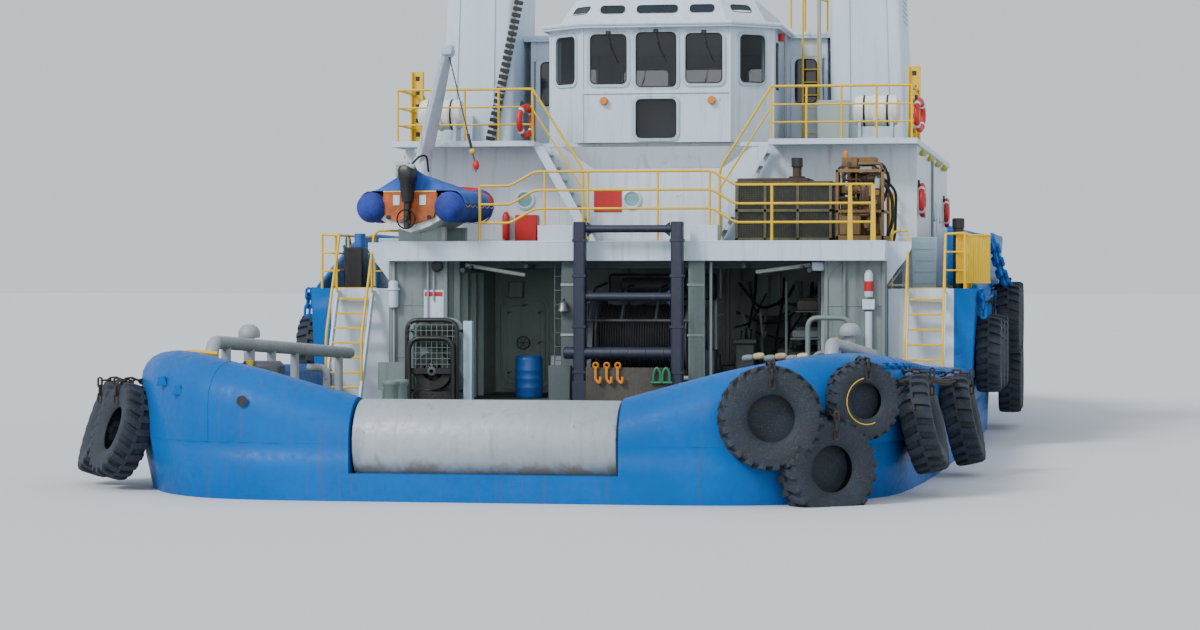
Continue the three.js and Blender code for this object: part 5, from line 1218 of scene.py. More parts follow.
# Shelter: stiffeners, pipes and fittings of the two side casings and the bulkhead, up to the deck over it
DECKHEAD = 3.7
piece = Piece("shelter_fittings", "casing_grey")
for s in (-1, 1):
    # After face of each casing: rounded bracket under the boat deck, edge bars and seams
    bracket = [(3.8, 3.1), (3.8, DECKHEAD), (4.25, DECKHEAD), (4.08, 3.62), (3.92, 3.45), (3.84, 3.28)]
    piece.add("casing", slab(bracket, "xz", -3.93, -3.905), block((3.8, -3.94, DECK), (3.87, -3.9, DECKHEAD), 0.01),
              block((4.93, -3.94, DECK), (5.0, -3.9, DECKHEAD), 0.01), side=s)
    # Light plates on the after face of the forecastle, with the curved gusset at the deck edge
    piece.add("white", block((5.03, -3.512, DECK), (6.32, -3.5, SIDE_DECK), 0.004), side=s)
    gusset = [(5.0, 3.2), (5.0, BOAT_DECK), (5.5, BOAT_DECK), (5.5, 3.95), (5.38, 3.72), (5.2, 3.5), (5.06, 3.3)]
    piece.add("white", slab(gusset, "xz", -3.7, -3.68), side=s)
    for z in (1.75, 2.8):
        piece.add("casing", block((3.87, -3.912, z), (4.93, -3.9, z + 0.03), 0.004), side=s)
    # Stiffeners along the inner faces
    for y in (-3.3, -2.5, -1.7, -0.9) + ((-0.1, 0.6) if s > 0 else ()):
        piece.add("casing", block((3.68, y - 0.04, DECK), (3.8, y + 0.04, DECKHEAD), 0.008), side=s)
    # Cable trays and pipes under the deckhead
    for x, z, r in ((3.5, 3.52, 0.05), (3.35, 3.58, 0.035), (2.2, 3.6, 0.045), (1.4, 3.62, 0.03)):
        piece.add("shade_grey", rod((x, -3.9, z), (x, 0.88, z), r, 8), side=s)
for x in (-3.1, -2.0, -0.9, 0.2, 1.3, 2.4, 3.3):
    if not -3.7 < x < -2.6:
        piece.add("casing", block((x - 0.04, 0.8, DECK), (x + 0.04, 0.9, DECKHEAD), 0.008))
for y in (-3.0, -2.0, -1.0, 0):
    piece.add("shade_grey", block((-3.8, y - 0.05, 3.55), (3.8, y + 0.05, DECKHEAD), 0.01))
# Port casing: thin pipes with a white cylinder, bracketed conduit and a round lamp
piece.add("pipe", pipe([(-4.9, -3.96, 3.68), (-4.9, -3.96, 3.3)], 0.03, 10), post(-4.9, -3.96, 2.8, DECK, 0.025, 10))
piece.add("white",
          lathe([(0.02, 0), (0.09, 0.02), (0.1, 0.06), (0.1, 0.36), (0.13, 0.37), (0.13, 0.4), (0.1, 0.41),
                 (0.1, 0.52), (0.05, 0.56)], (-4.9, -4.0, 2.75), sides=24))
piece.add("pipe", post(-4.2, -3.95, 3.68, 2.2, 0.022, 8), post(-4.08, -3.95, 3.68, 2.9, 0.018, 8))
piece.add("casing", block((-4.24, -3.98, 2.1), (-4.16, -3.9, 2.24), 0.008))
piece.add("black",
          lathe([(0.001, -0.02), (0.06, -0.03), (0.1, -0.02), (0.115, 0.0), (0.115, 0.05), (0.09, 0.09),
                 (0.001, 0.1)], (-4.0, -4.02, 3.6), (0, 1, 0), 28))
# Notice board with a plain red heading, and a blank green-grey plate by the ladder
piece.add("white", block((-4.29, -3.925, 2.56), (-3.88, -3.9, 3.12), 0.006))
piece.add("red", block((-4.27, -3.93, 2.99), (-3.9, -3.92, 3.08), 0.003))
piece.add("sea_green", block((-5.15, -4.315, 1.11), (-4.57, -4.3, 1.67), 0.006),
          post(-5.05, -4.29, DECK, 1.4, 0.022, 8), post(-4.67, -4.29, DECK, 1.4, 0.022, 8))
# Starboard casing: extinguisher over a white box, pipe down to the deck
piece.add("white",
          lathe([(0.02, 0), (0.07, 0.01), (0.085, 0.05), (0.085, 0.45), (0.06, 0.52), (0.02, 0.55)],
                (4.68, -4.0, 2.98), sides=24))
piece.add("red", lathe([(0.087, 0), (0.087, 0.2)], (4.68, -4.0, 3.1), sides=24))
piece.add("white", block((4.56, -4.06, 2.74), (4.8, -3.9, 2.94), 0.01), can(4.68, -3.98, 1.9, 2.7, 0.07, 20, 0.01))
piece.add("casing", post(4.2, -3.95, 3.68, 1.1, 0.035, 10), post(4.45, -3.95, 1.9, DECK, 0.025, 8))
piece.add("yellow", moved(slab([(-0.1, 0), (0.1, 0), (0, 0.17)], "xz", -0.004, 0.004), (4.05, -3.94, 2.05)))
piece.add("pipe", post(1.55, -3.95, 3.68, DECK, 0.03, 10))
# Junction boxes, strip lamps and hoses seen inside
for x, y, z, w, d, h, mat in ((-3.3, 0.7, 3.1, 0.3, 0.15, 0.35, "pipe"), (-2.2, 0.72, 2.2, 0.4, 0.16, 0.6, "casing"),
                              (0.6, 0.68, 2.4, 0.5, 0.2, 0.7, "shade_grey"),
                              (2.3, 0.66, 1.9, 0.7, 0.25, 1.3, "shade_grey"),
                              (3.1, 0.6, 1.5, 0.5, 0.4, 1.1, "casing"),
                              (-1.6, 0.6, 1.3, 0.6, 0.4, 0.85, "shade_grey"),
                              (-1.75, -1.9, 1.31, 0.55, 0.4, 0.88, "pipe"),
                              (3.2, -1.0, 1.4, 0.6, 1.0, 1.0, "shade_grey")):
    piece.add(mat, block((x - w / 2, y - d / 2, z - h / 2), (x + w / 2, y + d / 2, z + h / 2), 0.015))
for x0, x1, z0, z1 in ((-3.49, -2.27, 3.62, 3.42), (2.41, 3.5, 3.48, 3.62)):
    piece.add("lens", tube([(x0, -3.6, z0), (x1, -3.6, z1)], 0.04, 8))
piece.add("white", block((3.54, -3.85, 3.5), (3.8, -3.5, 3.68), 0.02))
piece.add("hose",
          pipe([(2.6, 0.5, 0.95), (2.6, -0.4, 0.95), (2.0, -0.9, 1.0), (1.7, -0.5, 1.6), (1.6, 0.6, 1.8)], 0.05, 8,
               0.3))
piece.done()

# Shelves, hoses and crates along the starboard side of the bay
piece = Piece("bay_stores", "deck_green")
for z, depth in ((1.55, 0.7), (2.15, 0.6), (2.7, 0.5)):
    piece.add("shade_grey", block((3.62 - depth, -2.9, z - 0.03), (3.66, 0.4, z), 0.006))
    for k in range(9):
        y = -2.75 + 0.36 * k + rng.uniform(-0.05, 0.05)
        wide, high = rng.uniform(0.12, 0.28), rng.uniform(0.14, 0.42)
        name = ("hose", "shade_grey", "winch", "navy", "chain", "sill")[rng.randrange(6)]
        if k % 3 == 1:
            piece.add(name,
                      lathe([(0.06, 0), (0.17, 0), (0.2, 0.06), (0.17, 0.12), (0.06, 0.12)],
                            (3.6 - depth / 2, y, z + 0.003), sides=20, closed=True))
        else:
            piece.add(name,
                      block((3.62 - depth + 0.03, y - wide / 2, z + 0.003), (3.58, y + wide / 2, z + high), 0.02))
for x, y in ((2.94, -2.85), (2.94, 0.35), (3.6, -2.85), (3.6, 0.35)):
    piece.add("shade_grey", block((x - 0.025, y - 0.025, DECK), (x + 0.025, y + 0.025, 3.3), 0.004))
for k in range(14):
    a = Vector((rng.uniform(1.6, 3.5), rng.uniform(-0.6, 0.4), rng.uniform(2.2, 3.4)))
    b = Vector((rng.uniform(1.6, 3.5), rng.uniform(-0.6, 0.4), rng.uniform(1.2, 3.3)))
    middle = a.lerp(b, 0.5) - Vector((0, 0, rng.uniform(0.1, 0.4)))
    piece.add(("hose", "winch", "pipe", "navy")[k % 4], pipe([a, middle, b], rng.uniform(0.018, 0.04), 8, 0.2))
for k in range(7):
    x, y = rng.uniform(1.6, 2.6), rng.uniform(-1.6, 0.3)
    size = rng.uniform(0.15, 0.3)
    piece.add(("winch", "shade_grey", "navy")[k % 3],
              block((x - size, y - size / 2, DECK), (x + size, y + size / 2, DECK + size * 2.4), 0.02))
piece.done()

# Rounded coaming round the watertight doorway
piece = Piece("shelter_door_coaming", "casing_grey")
outer, inner = rounded_rect(1.12, 2.06, 0.24, 6), rounded_rect(1.02, 1.96, 0.2, 6)
piece.add("casing", moved(ring_plate(outer, inner, 0.05), (-3.17, 0.85, 1.955)))
piece.done()

# Watertight door leaf with its dogs
piece = Piece("shelter_door_leaf", "casing_grey", "shelter_door", ["shelter_door"])
leaf = [(a - 3.153, b + 1.955) for a, b in rounded_rect(0.924, 1.8, 0.16, 6)]
rim = [(a - 3.155, b + 1.955) for a, b in rounded_rect(0.74, 1.6, 0.14, 6)]
piece.add("casing", slab(leaf, "xz", 0.847, 0.885, 0.006), slab(rim, "xz", 0.827, 0.857, 0.01),
          can(-3.65, 0.865, 1.11, 2.8, 0.016, 12, 0.002), block((-3.65, 0.86, 1.2), (-3.6, 0.87, 2.7), 0.002))
for x, z in ((-3.5, 1.3), (-3.5, 2.6), (-2.82, 1.3), (-2.82, 1.95), (-2.82, 2.6), (-3.16, 2.76), (-3.16, 1.15)):
    piece.add("steel", lathe([(0.03, 0), (0.03, 0.03), (0.015, 0.045)], (x, 0.84, z), (0, -1, 0), 12),
              rod((x, 0.8, z), (x + 0.09, 0.8, z + 0.03), 0.011, 6))
piece.add("steel",
          lathe([(0.14, -0.012), (0.152, 0), (0.14, 0.012), (0.128, 0)], (-3.16, 0.77, 1.95), (0, 1, 0), 28, True),
          rod((-3.16, 0.83, 1.95), (-3.16, 0.765, 1.95), 0.018, 10))
for k in range(3):
    t = math.pi * k / 3
    piece.add("steel",
              rod((-3.16 - 0.14 * math.cos(t), 0.77, 1.95 - 0.14 * math.sin(t)),
                  (-3.16 + 0.14 * math.cos(t), 0.77, 1.95 + 0.14 * math.sin(t)), 0.008, 6))
piece.done()

# Bell on the port pillar, pillar trims and the dark ladder beside it
piece = Piece("pillar_fittings", "casing_grey")
piece.add("steel",
          lathe([(0.02, 0.2), (0.075, 0.17), (0.095, 0.06), (0.13, 0.0), (0.12, 0.0)], (-1.38, -4.2, 2.7), sides=24))
piece.add("navy", rod((-1.38, -4.2, 2.9), (-1.38, -4.1, 2.95), 0.014, 6))
for s in (-1, 1):
    piece.add("sea_green" if s > 0 else "shade_grey", block((1.12, -4.115, DECK), (1.43, -4.1, DECKHEAD), 0.004),
              side=s)
    for z in (1.2, 2.2, 3.2):
        piece.add("pipe", block((1.1, -4.13, z), (1.45, -4.09, z + 0.05), 0.005), side=s)
for x in (-1.6, -1.46):
    piece.add("shade_grey", post(x, -3.95, DECK, 3.6, 0.012, 8))
for k in range(9):
    piece.add("shade_grey", rod((-1.6, -3.95, 1.15 + 0.28 * k), (-1.46, -3.95, 1.15 + 0.28 * k), 0.01, 6))
piece.add("panel_blue", block((-3.4, -4.3, DECK), (-3.22, -4.1, 2.5), 0.01))
piece.done()

# Boat deck edge: fascia strip, seams and the lip over it
piece = Piece("boat_deck_edge", "house_white")
piece.add("white", block((-5.02, -4.275, DECKHEAD), (5.02, -4.25, BOAT_DECK), 0.01),
          block((-5.02, -4.28, 4.06), (5.02, -4.2, 4.1), 0.01))
for x0, x1 in ((-1.89, -1.18), (1.18, 1.72)):
    piece.add("white", block((x0, -4.26, 4.05), (x1, -4.24, 4.41), 0.01))
for s in (-1, 1):
    piece.add("white", block((5.0, -4.25, DECKHEAD), (5.03, 0.95, 4.1), 0.01), side=s)
    for y in (-1.9, -0.9, 0.6) if s > 0 else (-0.9, 0.6):
        piece.add("yellow", post(4.96, y, BOAT_DECK, 5.1, 0.024, 8), side=s)
    for z in (5.1, 4.75, 4.4):
        piece.add("yellow", rod((4.96, -1.9 if s > 0 else -0.9, z), (4.96, 0.6, z), 0.02, 8), side=s)
piece.done()


# House, stairs, wheelhouse and funnels

def porthole(piece, at, out, radius=0.2):
    """Round window with its ring, looking along out."""
    piece.add("white",
              lathe([(radius, 0), (radius + 0.06, 0), (radius + 0.06, 0.03), (radius + 0.02, 0.045), (radius, 0.03)],
                    at, out, 28, True))
    piece.add("porthole", lathe([(radius + 0.01, 0.001), (radius + 0.01, 0.014)], at, out, 28))


def lifebuoy(piece, at, turn):
    """Red ring with white bands, seen along Y before its turn."""
    ring = [(x, 0, z) for x, z in circle(0.29, 28)]
    piece.add("red", moved(tube(ring, 0.075, 12, closed=True), at, turn, (1, 0.8, 1)))
    for k in range(4):
        t = math.radians(45 + 90 * k)
        band = [(0.29 * math.cos(t + d), 0, 0.29 * math.sin(t + d)) for d in (-0.09, 0, 0.09)]
        piece.add("white", moved(tube(band, 0.079, 12), at, turn, (1, 0.8, 1)))
    piece.add("black", moved(block((-0.1, 0.05, 0.26), (0.1, 0.09, 0.42), 0.01), at, turn))


piece = Piece("house_fittings", "house_white")
for x in (-2.83, -0.54):
    porthole(piece, (x, -0.705, 5.01), (0, -1, 0), 0.15)
# Blank red plate, two red boxes, extinguisher
piece.add("red", block((-1.35, -0.725, 4.75), (-0.76, -0.702, 5.23), 0.006),
          block((-2.93, -1.35, 4.12), (-2.46, -1.0, 4.68), 0.02),
          block((-2.46, -1.3, 4.3), (-1.97, -1.05, 4.42), 0.02),
          lathe([(0.02, 0), (0.075, 0.01), (0.08, 0.04), (0.08, 0.5), (0.05, 0.58), (0.02, 0.6)],
                (-3.22, -0.82, 4.16), sides=20))
piece.add("white", block((-3.3, -0.78, 4.11), (-3.14, -0.7, 4.16), 0.006))
# Plate seams and coamings of the after wall
for x in (-4.1, -2.1, 1.35, 2.7, 4.1):
    piece.add("white", post(x, -0.702, 4.1, 6.1, 0.006, 5))
piece.add("white", block((-5.43, -0.72, BOAT_DECK), (5.43, -0.7, 4.2), 0.008),
          block((-5.5, -1.68, 6.1), (-2.45, -1.65, 6.22), 0.01), block((2.45, -1.68, 6.1), (5.5, -1.65, 6.22), 0.01))
for s in (-1, 1):
    piece.add("white", block((5.43, -1.65, 6.1), (5.5, 12.3, 6.22), 0.01), side=s)
    # Pipes, lamps and lifebuoys on the side of the house
    piece.add("sea_green", post(5.47, 4.6, 3.2, 6.1, 0.03, 10), side=s)
    for y in (-0.1, 3.0, 6.2, 9.0):
        piece.add("lamp_green",
                  lathe([(0.001, 0), (0.07, 0.01), (0.085, 0.08), (0.05, 0.12), (0.03, 0.16)], (5.52, y, 5.9),
                        sides=14), side=s)
    for y, z in ((-0.3, 4.98), (10.3, 4.94)):
        lifebuoy(piece, (s * 5.52, y, z), (0, 0, 90))
    for y in (2.0, 6.0, 8.4):
        porthole(piece, (s * 5.43, y, 4.9), (s, 0, 0), 0.19)
    door = [(a + 7.4, b + 4.15) for a, b in rounded_rect(0.8, 1.85, 0.15)]
    piece.add("white", slab(door, "yz", 5.43, 5.46, 0.005), side=s)
    # Deck-side gear by the ladder heads
    piece.add("panel_blue", block((5.36, -1.3, SIDE_DECK), (5.87, -0.75, 4.2), 0.015), side=s)
    for k in range(4):
        piece.add("panel_blue", block((5.4, -1.31, 3.25 + 0.23 * k), (5.83, -1.3, 3.42 + 0.23 * k), 0.004), side=s)
piece.add("black", can(6.34, -2.0, SIDE_DECK, 4.5, 0.11, 24, 0.01), can(6.34, -2.0, 4.35, 4.57, 0.125, 24, 0.02))
piece.add("pipe", block((5.02, -3.5, 3.2), (5.36, -3.2, 3.24), 0.005),
          tube([(5.04, -3.48, 3.2), (5.3, -3.48, 3.56)], 0.02, 6))
piece.add("black", block((-6.45, -2.0, SIDE_DECK), (-6.05, -1.5, 4.0), 0.02))
piece.add("barrel", can(-6.3, -1.2, SIDE_DECK, 4.3, 0.12, 20, 0.01), can(-5.85, -1.7, SIDE_DECK, 3.9, 0.1, 20, 0.01))
piece.done()

for s, name in SIDES:
    piece = Piece(f"stairs_plated_{name}", "house_white", replaces=[f"stairs_{name}"])
    top, foot = (2.44, BRIDGE_DECK), (1.25, BOAT_DECK)
    for y in (-1.57, -0.89):
        outline = [(foot[0] - 0.11, foot[1]), (foot[0] + 0.11, foot[1]), (top[0] + 0.05, top[1] - 0.09),
                   (top[0] - 0.17, top[1] - 0.09)]
        piece.add("white", slab(outline, "xz", y, y + 0.03, 0.004), side=s)
    for step in range(1, 8):
        t = step / 8
        x, z = foot[0] + (top[0] - foot[0]) * t, foot[1] + (top[1] - foot[1]) * t
        piece.add("pipe", block((x - 0.11, -1.55, z - 0.018), (x + 0.11, -0.89, z + 0.018), 0.005), side=s)
        for k in range(4):
            piece.add("pipe",
                      rod((x - 0.08 + 0.05 * k, -1.53, z + 0.019), (x - 0.08 + 0.05 * k, -0.91, z + 0.019), 0.004, 4),
                      side=s)
    piece.done()

WINDOWS = [
    # x, y, z, width, height, degrees turned from facing aft
    (-1.01, -0.9, 7.95, 0.78, 1.05, 0), (0, -0.9, 7.93, 0.86, 1.15, 0), (1.01, -0.9, 7.95, 0.78, 1.05, 0),
    (0, -0.9, 6.7, 0.86, 0.82, 0), (-1.97, -0.525, 7.95, 0.64, 1.0, -42.4), (1.97, -0.525, 7.95, 0.64, 1.0, 42.4),
    (-3.3, 3.7, 7.85, 1.0, 0.95, -90), (3.3, 3.7, 7.85, 1.0, 0.95, 90),
    (-3.3, 5.2, 7.85, 1.0, 0.95, -90), (3.3, 5.2, 7.85, 1.0, 0.95, 90),
    (-2.8, 6.95, 7.85, 1.05, 0.95, -127.6), (2.8, 6.95, 7.85, 1.05, 0.95, 127.6), (-1.5, 7.6, 7.85, 1.1, 0.95, 180),
    (0, 7.6, 7.85, 1.3, 0.95, 180), (1.5, 7.6, 7.85, 1.1, 0.95, 180),
]
frames_piece = Piece("wheelhouse_window_frames", "house_white")
panes = Piece("wheelhouse_glass", "black_paint")
for i, (x, y, z, w, h, turn) in enumerate(WINDOWS):
    outer, clear = rounded_rect(w + 0.13, h + 0.13, 0.16, 5), rounded_rect(w - 0.02, h - 0.02, 0.1, 5)
    rim = [(a, -0.03, b) for a, b in clear]
    pane = slab(rounded_rect(w - 0.012, h - 0.012, 0.1, 5), "xz", 0.0, 0.01)
    placed = lambda shape: moved(shape, (x, y, z), (0, 0, turn))
    frames_piece.add("davit", placed(moved(ring_plate(outer, clear, 0.03), (0, -0.03, 0))))
    frames_piece.add("seal", placed(tube(rim, 0.012, 6, closed=True)))
    panes.add("glass", placed(pane))
    if i < 3 or i > 11:
        # Wiper: motor box, arm and blade
        frames_piece.add("black", placed(block((-0.05, -0.07, h / 2 - 0.02), (0.05, -0.02, h / 2 + 0.06), 0.01)),
                         placed(rod((0, -0.055, h / 2), (0.12, -0.05, h / 2 - 0.42), 0.009, 6)),
                         placed(rod((0.02, -0.04, h / 2 - 0.2), (0.22, -0.04, h / 2 - 0.62), 0.012, 6)))
frames_piece.add("white", block((-1.56, -0.93, 7.22), (1.56, -0.9, 7.3), 0.01))
frames_piece.done()
panes.done()

piece = Piece("wheelhouse_trim", "house_white")
# Lamps under the windows of the bay, plate edges at the corners and round the eaves
for x in (-1.1, 1.18):
    piece.add("orange",
              lathe([(0.001, 0), (0.07, 0.0), (0.09, 0.03), (0.07, 0.08)], (x, -0.94, 7.07), (0, -1, 0), 16),
              block((x - 0.06, -0.96, 7.0), (x + 0.06, -0.9, 7.14), 0.01))
EAVES = [(-3.42, 2.28), (-2.52, 2.28), (-2.52, -0.21), (-1.61, -1.04), (1.61, -1.04), (2.52, -0.21), (2.52, 2.28),
         (3.42, 2.28), (3.42, 6.34), (2.36, 7.73), (-2.36, 7.73), (-3.42, 6.34)]
for z, radius, sides in ((EAVES_Z, 0.045, 8), (8.615, 0.02, 6)):
    piece.add("white", tube([(x, y, z) for x, y in EAVES], radius, sides, closed=True))
for x, y in ((-1.56, -0.9), (1.56, -0.9), (-2.38, -0.15), (2.38, -0.15)):
    piece.add("white", post(x, y, BRIDGE_DECK, 8.62, 0.028, 10))
# Panes of the raised roof: three on its sloping after face, two on its slanted corners
PANE_Z = 9.02
PANE_Y = -0.78 + 0.48 * ((PANE_Z - EAVES_Z) / 0.62)
for x, w in ((-0.98, 0.5), (-0.03, 0.85), (0.92, 0.5)):
    outline = rounded_rect(w, 0.2, 0.07, 4)
    at = (x, PANE_Y - 0.012, PANE_Z)
    piece.add("dark_glass", moved(slab(outline, "xz", -0.012, 0.004), at, (-38, 0, 0)))
    piece.add("seal", moved(tube([(a, -0.012, b) for a, b in outline], 0.012, 5, closed=True), at, (-38, 0, 0)))
for s in (-1, 1):
    # The slanted corner runs from the bay to the body: its middle, and its lean at this height
    at = (s * 1.69, -0.175, PANE_Z)
    outline = rounded_rect(0.5, 0.2, 0.07, 4)
    turn = (0, 0, s * 43)
    leaning = lambda shape: moved(moved(shape, turn=(-36, 0, 0)), at, turn)
    piece.add("dark_glass", leaning(slab(outline, "xz", -0.02, 0.0)))
    piece.add("seal", leaning(tube([(a, -0.02, b) for a, b in outline], 0.012, 5, closed=True)))
    # Slit window on the side of the bay, side lamp, pipes
    piece.add("seal", block((2.375, 0.4, 7.36), (2.4, 0.8, 8.36), 0.01), side=s)
    piece.add("dark_glass", block((2.385, 0.45, 7.42), (2.405, 0.75, 8.3), 0.008), side=s)
    piece.add("pipe", post(2.5, 1.2, BRIDGE_DECK, 8.6, 0.03, 8), post(2.46, 1.5, BRIDGE_DECK, 8.6, 0.02, 8), side=s)
    piece.add("red" if s > 0 else "green", can(2.44, 0.9, 8.42, 8.58, 0.07, 16, 0.01), side=s)
# Yellow ladder up to the roof with its rails
for x in (2.79, 3.12):
    piece.add("yellow",
              pipe([(x, 2.1, 6.22), (x, 2.1, 8.75), (x, 2.1, 9.55), (x, 2.6, 9.55), (x, 2.6, 8.75)], 0.022, 8, 0.16))
for k in range(8):
    piece.add("yellow", rod((2.79, 2.1, 6.5 + 0.28 * k), (3.12, 2.1, 6.5 + 0.28 * k), 0.014, 6))
piece.add("yellow",
          pipe([(1.9, 0.4, 9.25), (1.9, 0.4, 9.95), (3.3, 2.4, 9.95), (3.3, 4.8, 9.95), (3.3, 4.8, 8.74)], 0.024, 8,
               0.1), post(2.6, 1.4, 8.74, 9.95, 0.022, 8), post(3.3, 2.4, 8.74, 9.95, 0.022, 8),
          rod((1.95, 0.45, 9.6), (3.3, 2.4, 9.4), 0.018, 8))
piece.done()

RAFT = (4.6, -0.85, 6.82)
for s, name in SIDES:
    # Wheelhouse doors: leaf with rounded light and lever
    piece = Piece(f"wheelhouse_door_leaf_{name}", "casing_grey", f"wheelhouse_door_{name}",
                  [f"wheelhouse_door_{name}"])
    leaf = [(a + 2.833, b + 7.235) for a, b in rounded_rect(0.66, 1.96, 0.1, 5)]
    piece.add("white", slab(leaf, "xz", 2.347, 2.385, 0.006), side=s)
    pane = [(a + 2.833, b + 7.66) for a, b in rounded_rect(0.46, 0.95, 0.1, 5)]
    piece.add("dark_glass", slab(pane, "xz", 2.34, 2.35), side=s)
    piece.add("seal", tube([(a, 2.342, b) for a, b in pane], 0.014, 6, closed=True), side=s)
    piece.add("steel", rod((2.6, 2.3, 7.2), (2.72, 2.3, 7.2), 0.014, 8),
              rod((2.6, 2.345, 7.2), (2.6, 2.3, 7.2), 0.012, 8), can(3.2, 2.365, 6.31, 8.16, 0.016, 10, 0.002),
              side=s)
    piece.add("white", block((3.14, 2.36, 6.35), (3.2, 2.372, 8.12), 0.002), side=s)
    piece.done()

    # Funnel: tapered casing with rounded corners, stacks, louvres and seams
    piece = Piece(f"funnel_casing_{name}", "house_white", replaces=[f"funnel_{name}"])
    rings = []
    for inner, outer, aft, fore, z in ((3.48, 5.12, 1.15, 3.9, BRIDGE_DECK), (3.455, 5.01, 1.2, 3.85, 8.4),
                                       (3.43, 4.9, 1.25, 3.8, 10.58), (3.46, 4.87, 1.28, 3.77, 10.6)):
        rings.append([(a + (inner + outer) / 2, b + (aft + fore) / 2, z)
                      for a, b in rounded_rect(outer - inner, fore - aft, 0.16, 5)])
    piece.add("white", loft(rings), side=s)
    for y, r in ((2.0, 0.17), (3.0, 0.21)):
        piece.add("black",
                  lathe([(r, 0), (r, 0.82), (r - 0.012, 0.85), (r - 0.02, 0.82), (r - 0.02, 0.4), (0.01, 0.4)],
                        (4.15, y, 10.5), (0, -0.15, 0.85), 28), side=s)
    for k in range(9):
        z = 8.9 + 0.11 * k
        shift = 0.05 * (z - BRIDGE_DECK) / 2.2
        piece.add("white", block((5.11 - shift * 2.2, 1.9, z), (5.15 - shift * 2.2, 3.2, z + 0.05), 0.006), side=s)
    piece.add("white", rod((3.9, 1.13, 6.3), (3.86, 1.23, 10.4), 0.012, 5),
              rod((4.75, 1.13, 6.3), (4.62, 1.23, 10.4), 0.012, 5), side=s)
    # Pipe up the after corner, to port with a dark toothed guard
    if s < 0:
        piece.add("pipe", pipe([(-3.88, 1.08, 6.3), (-3.7, 1.1, 7.3), (-3.26, 1.2, 10.4)], 0.06, 14))
        for k in range(26):
            t = k / 26
            x, y, z = -3.94 + 0.72 * t, 1.0 + 0.12 * t, 6.35 + 3.5 * t
            piece.add("black", moved(block((-0.1, -0.03, 0), (0.1, 0.02, 0.09), 0.01), (x, y, z), (0, 14, 0)))
        piece.add("white", block((4.3, 0.9, 6.22), (4.8, 1.14, 6.9), 0.02), side=s)
    else:
        piece.add("pipe", rod((3.3, 1.1, 6.25), (3.2, 1.2, 10.3), 0.035, 10))
        piece.add("casing", block((3.22, 0.8, 6.22), (3.91, 1.1, 7.15), 0.02))
    piece.done()

    # Life raft canister: two shells, bands and straps on a cradle
    piece = Piece(f"raft_canister_{name}", "raft_white", replaces=[f"raft_{name}"])
    profile = [(0.02, -0.5), (0.18, -0.485), (0.29, -0.43), (0.318, -0.36)]
    profile += [(0.318, -0.2), (0.325, -0.19), (0.325, -0.16), (0.318, -0.15), (0.318, -0.04), (0.345, -0.03)]
    profile += [(r, -a) for r, a in reversed(profile)]
    piece.add("raft", lathe(profile, (s * RAFT[0], *RAFT[1:]), (1, 0, 0), 40))
    for x in (-0.24, 0.24):
        piece.add("black",
                  lathe([(0.32, -0.02), (0.328, -0.018), (0.328, 0.018), (0.32, 0.02)], (s * RAFT[0] + x, *RAFT[1:]),
                        (1, 0, 0), 40, True))
    for dx in (-0.33, 0.33):
        x = s * RAFT[0] + dx
        piece.add("white",
                  slab([(-1.1, BRIDGE_DECK), (-0.6, BRIDGE_DECK), (-0.56, 6.75), (-0.62, 6.75), (-0.7, 6.56),
                        (-0.85, 6.49), (-1.0, 6.56), (-1.08, 6.75), (-1.14, 6.75)], "yz", x - 0.03, x + 0.03, 0.006))
    piece.add("white", block((s * RAFT[0] - 0.36, -1.08, BRIDGE_DECK), (s * RAFT[0] + 0.36, -1.02, 6.28), 0.01),
              drum((s * RAFT[0], -1.2, 6.6), (s * RAFT[0], -1.13, 6.6), 0.05, 16, 0.01))
    piece.done()

# Red lifebuoys on the bridge rails
piece = Piece("bridge_lifebuoys", "rail_yellow")
lifebuoy(piece, (-2.62, -1.7, 6.62), (0, 0, 72))
lifebuoy(piece, (5.5, -0.9, 6.72), (0, 0, 80))
piece.done()

# Mast, its lamps and the radar
MAST_Y, RADAR_Y = 1.9, 3.55
piece = Piece("mast_tubes", "house_white", replaces=["mast"])
for x, y in ((-0.5, 1.5), (0.5, 1.5), (0, 2.9)):
    piece.add("white", rod((x, y, 9.3), (0, MAST_Y, 12.2), 0.07, 16),
              lathe([(0.16, 0), (0.16, 0.02), (0.07, 0.03)], (x, y, 9.3), sides=16))
piece.add("white", tube([(0, MAST_Y, 10.72), (0, MAST_Y, 12.5), (0, MAST_Y, 14.2)], 0.06, 16))
for z, half in ((11.3, 0.9), (12.8, 1.2)):
    piece.add("white", drum((-half, MAST_Y, z), (half, MAST_Y, z), 0.035, 12, 0.006))
    for x in (-half + 0.1, half - 0.1):
        piece.add("lens", lathe([(0.02, 0.04), (0.06, 0.05), (0.065, 0.17), (0.03, 0.2)], (x, MAST_Y, z), sides=16))
        piece.add("black", lathe([(0.07, 0.03), (0.07, 0.05)], (x, MAST_Y, z), sides=16))
piece.add("white", block((-0.35, 1.7, 10.7), (0.35, 3.8, 10.76), 0.01),
          tube([(0, 2.65, 9.9), (0, RADAR_Y, 10.73)], 0.05, 10), can(0, RADAR_Y, 10.7, 11.0, 0.11, 24, 0.01))
for x in (-0.33, 0.33):
    piece.add("yellow", post(x, 1.75, 10.76, 10.95, 0.014, 6))
for k in range(9):
    piece.add("white",
              rod((-0.36 + 0.03 * k, 1.6 + 0.028 * k, 9.7 + 0.26 * k),
                  (0.36 - 0.03 * k, 1.6 + 0.028 * k, 9.7 + 0.26 * k), 0.012, 6))
piece.add("black", post(0.9, MAST_Y, 12.82, 13.9, 0.012, 6), post(-0.8, MAST_Y, 12.82, 13.6, 0.01, 6))
piece.done()
piece = Piece("radar_bar", "house_white", "radar", ["radar_scanner"])
section = rounded_rect(0.14, 0.14, 0.05, 4)
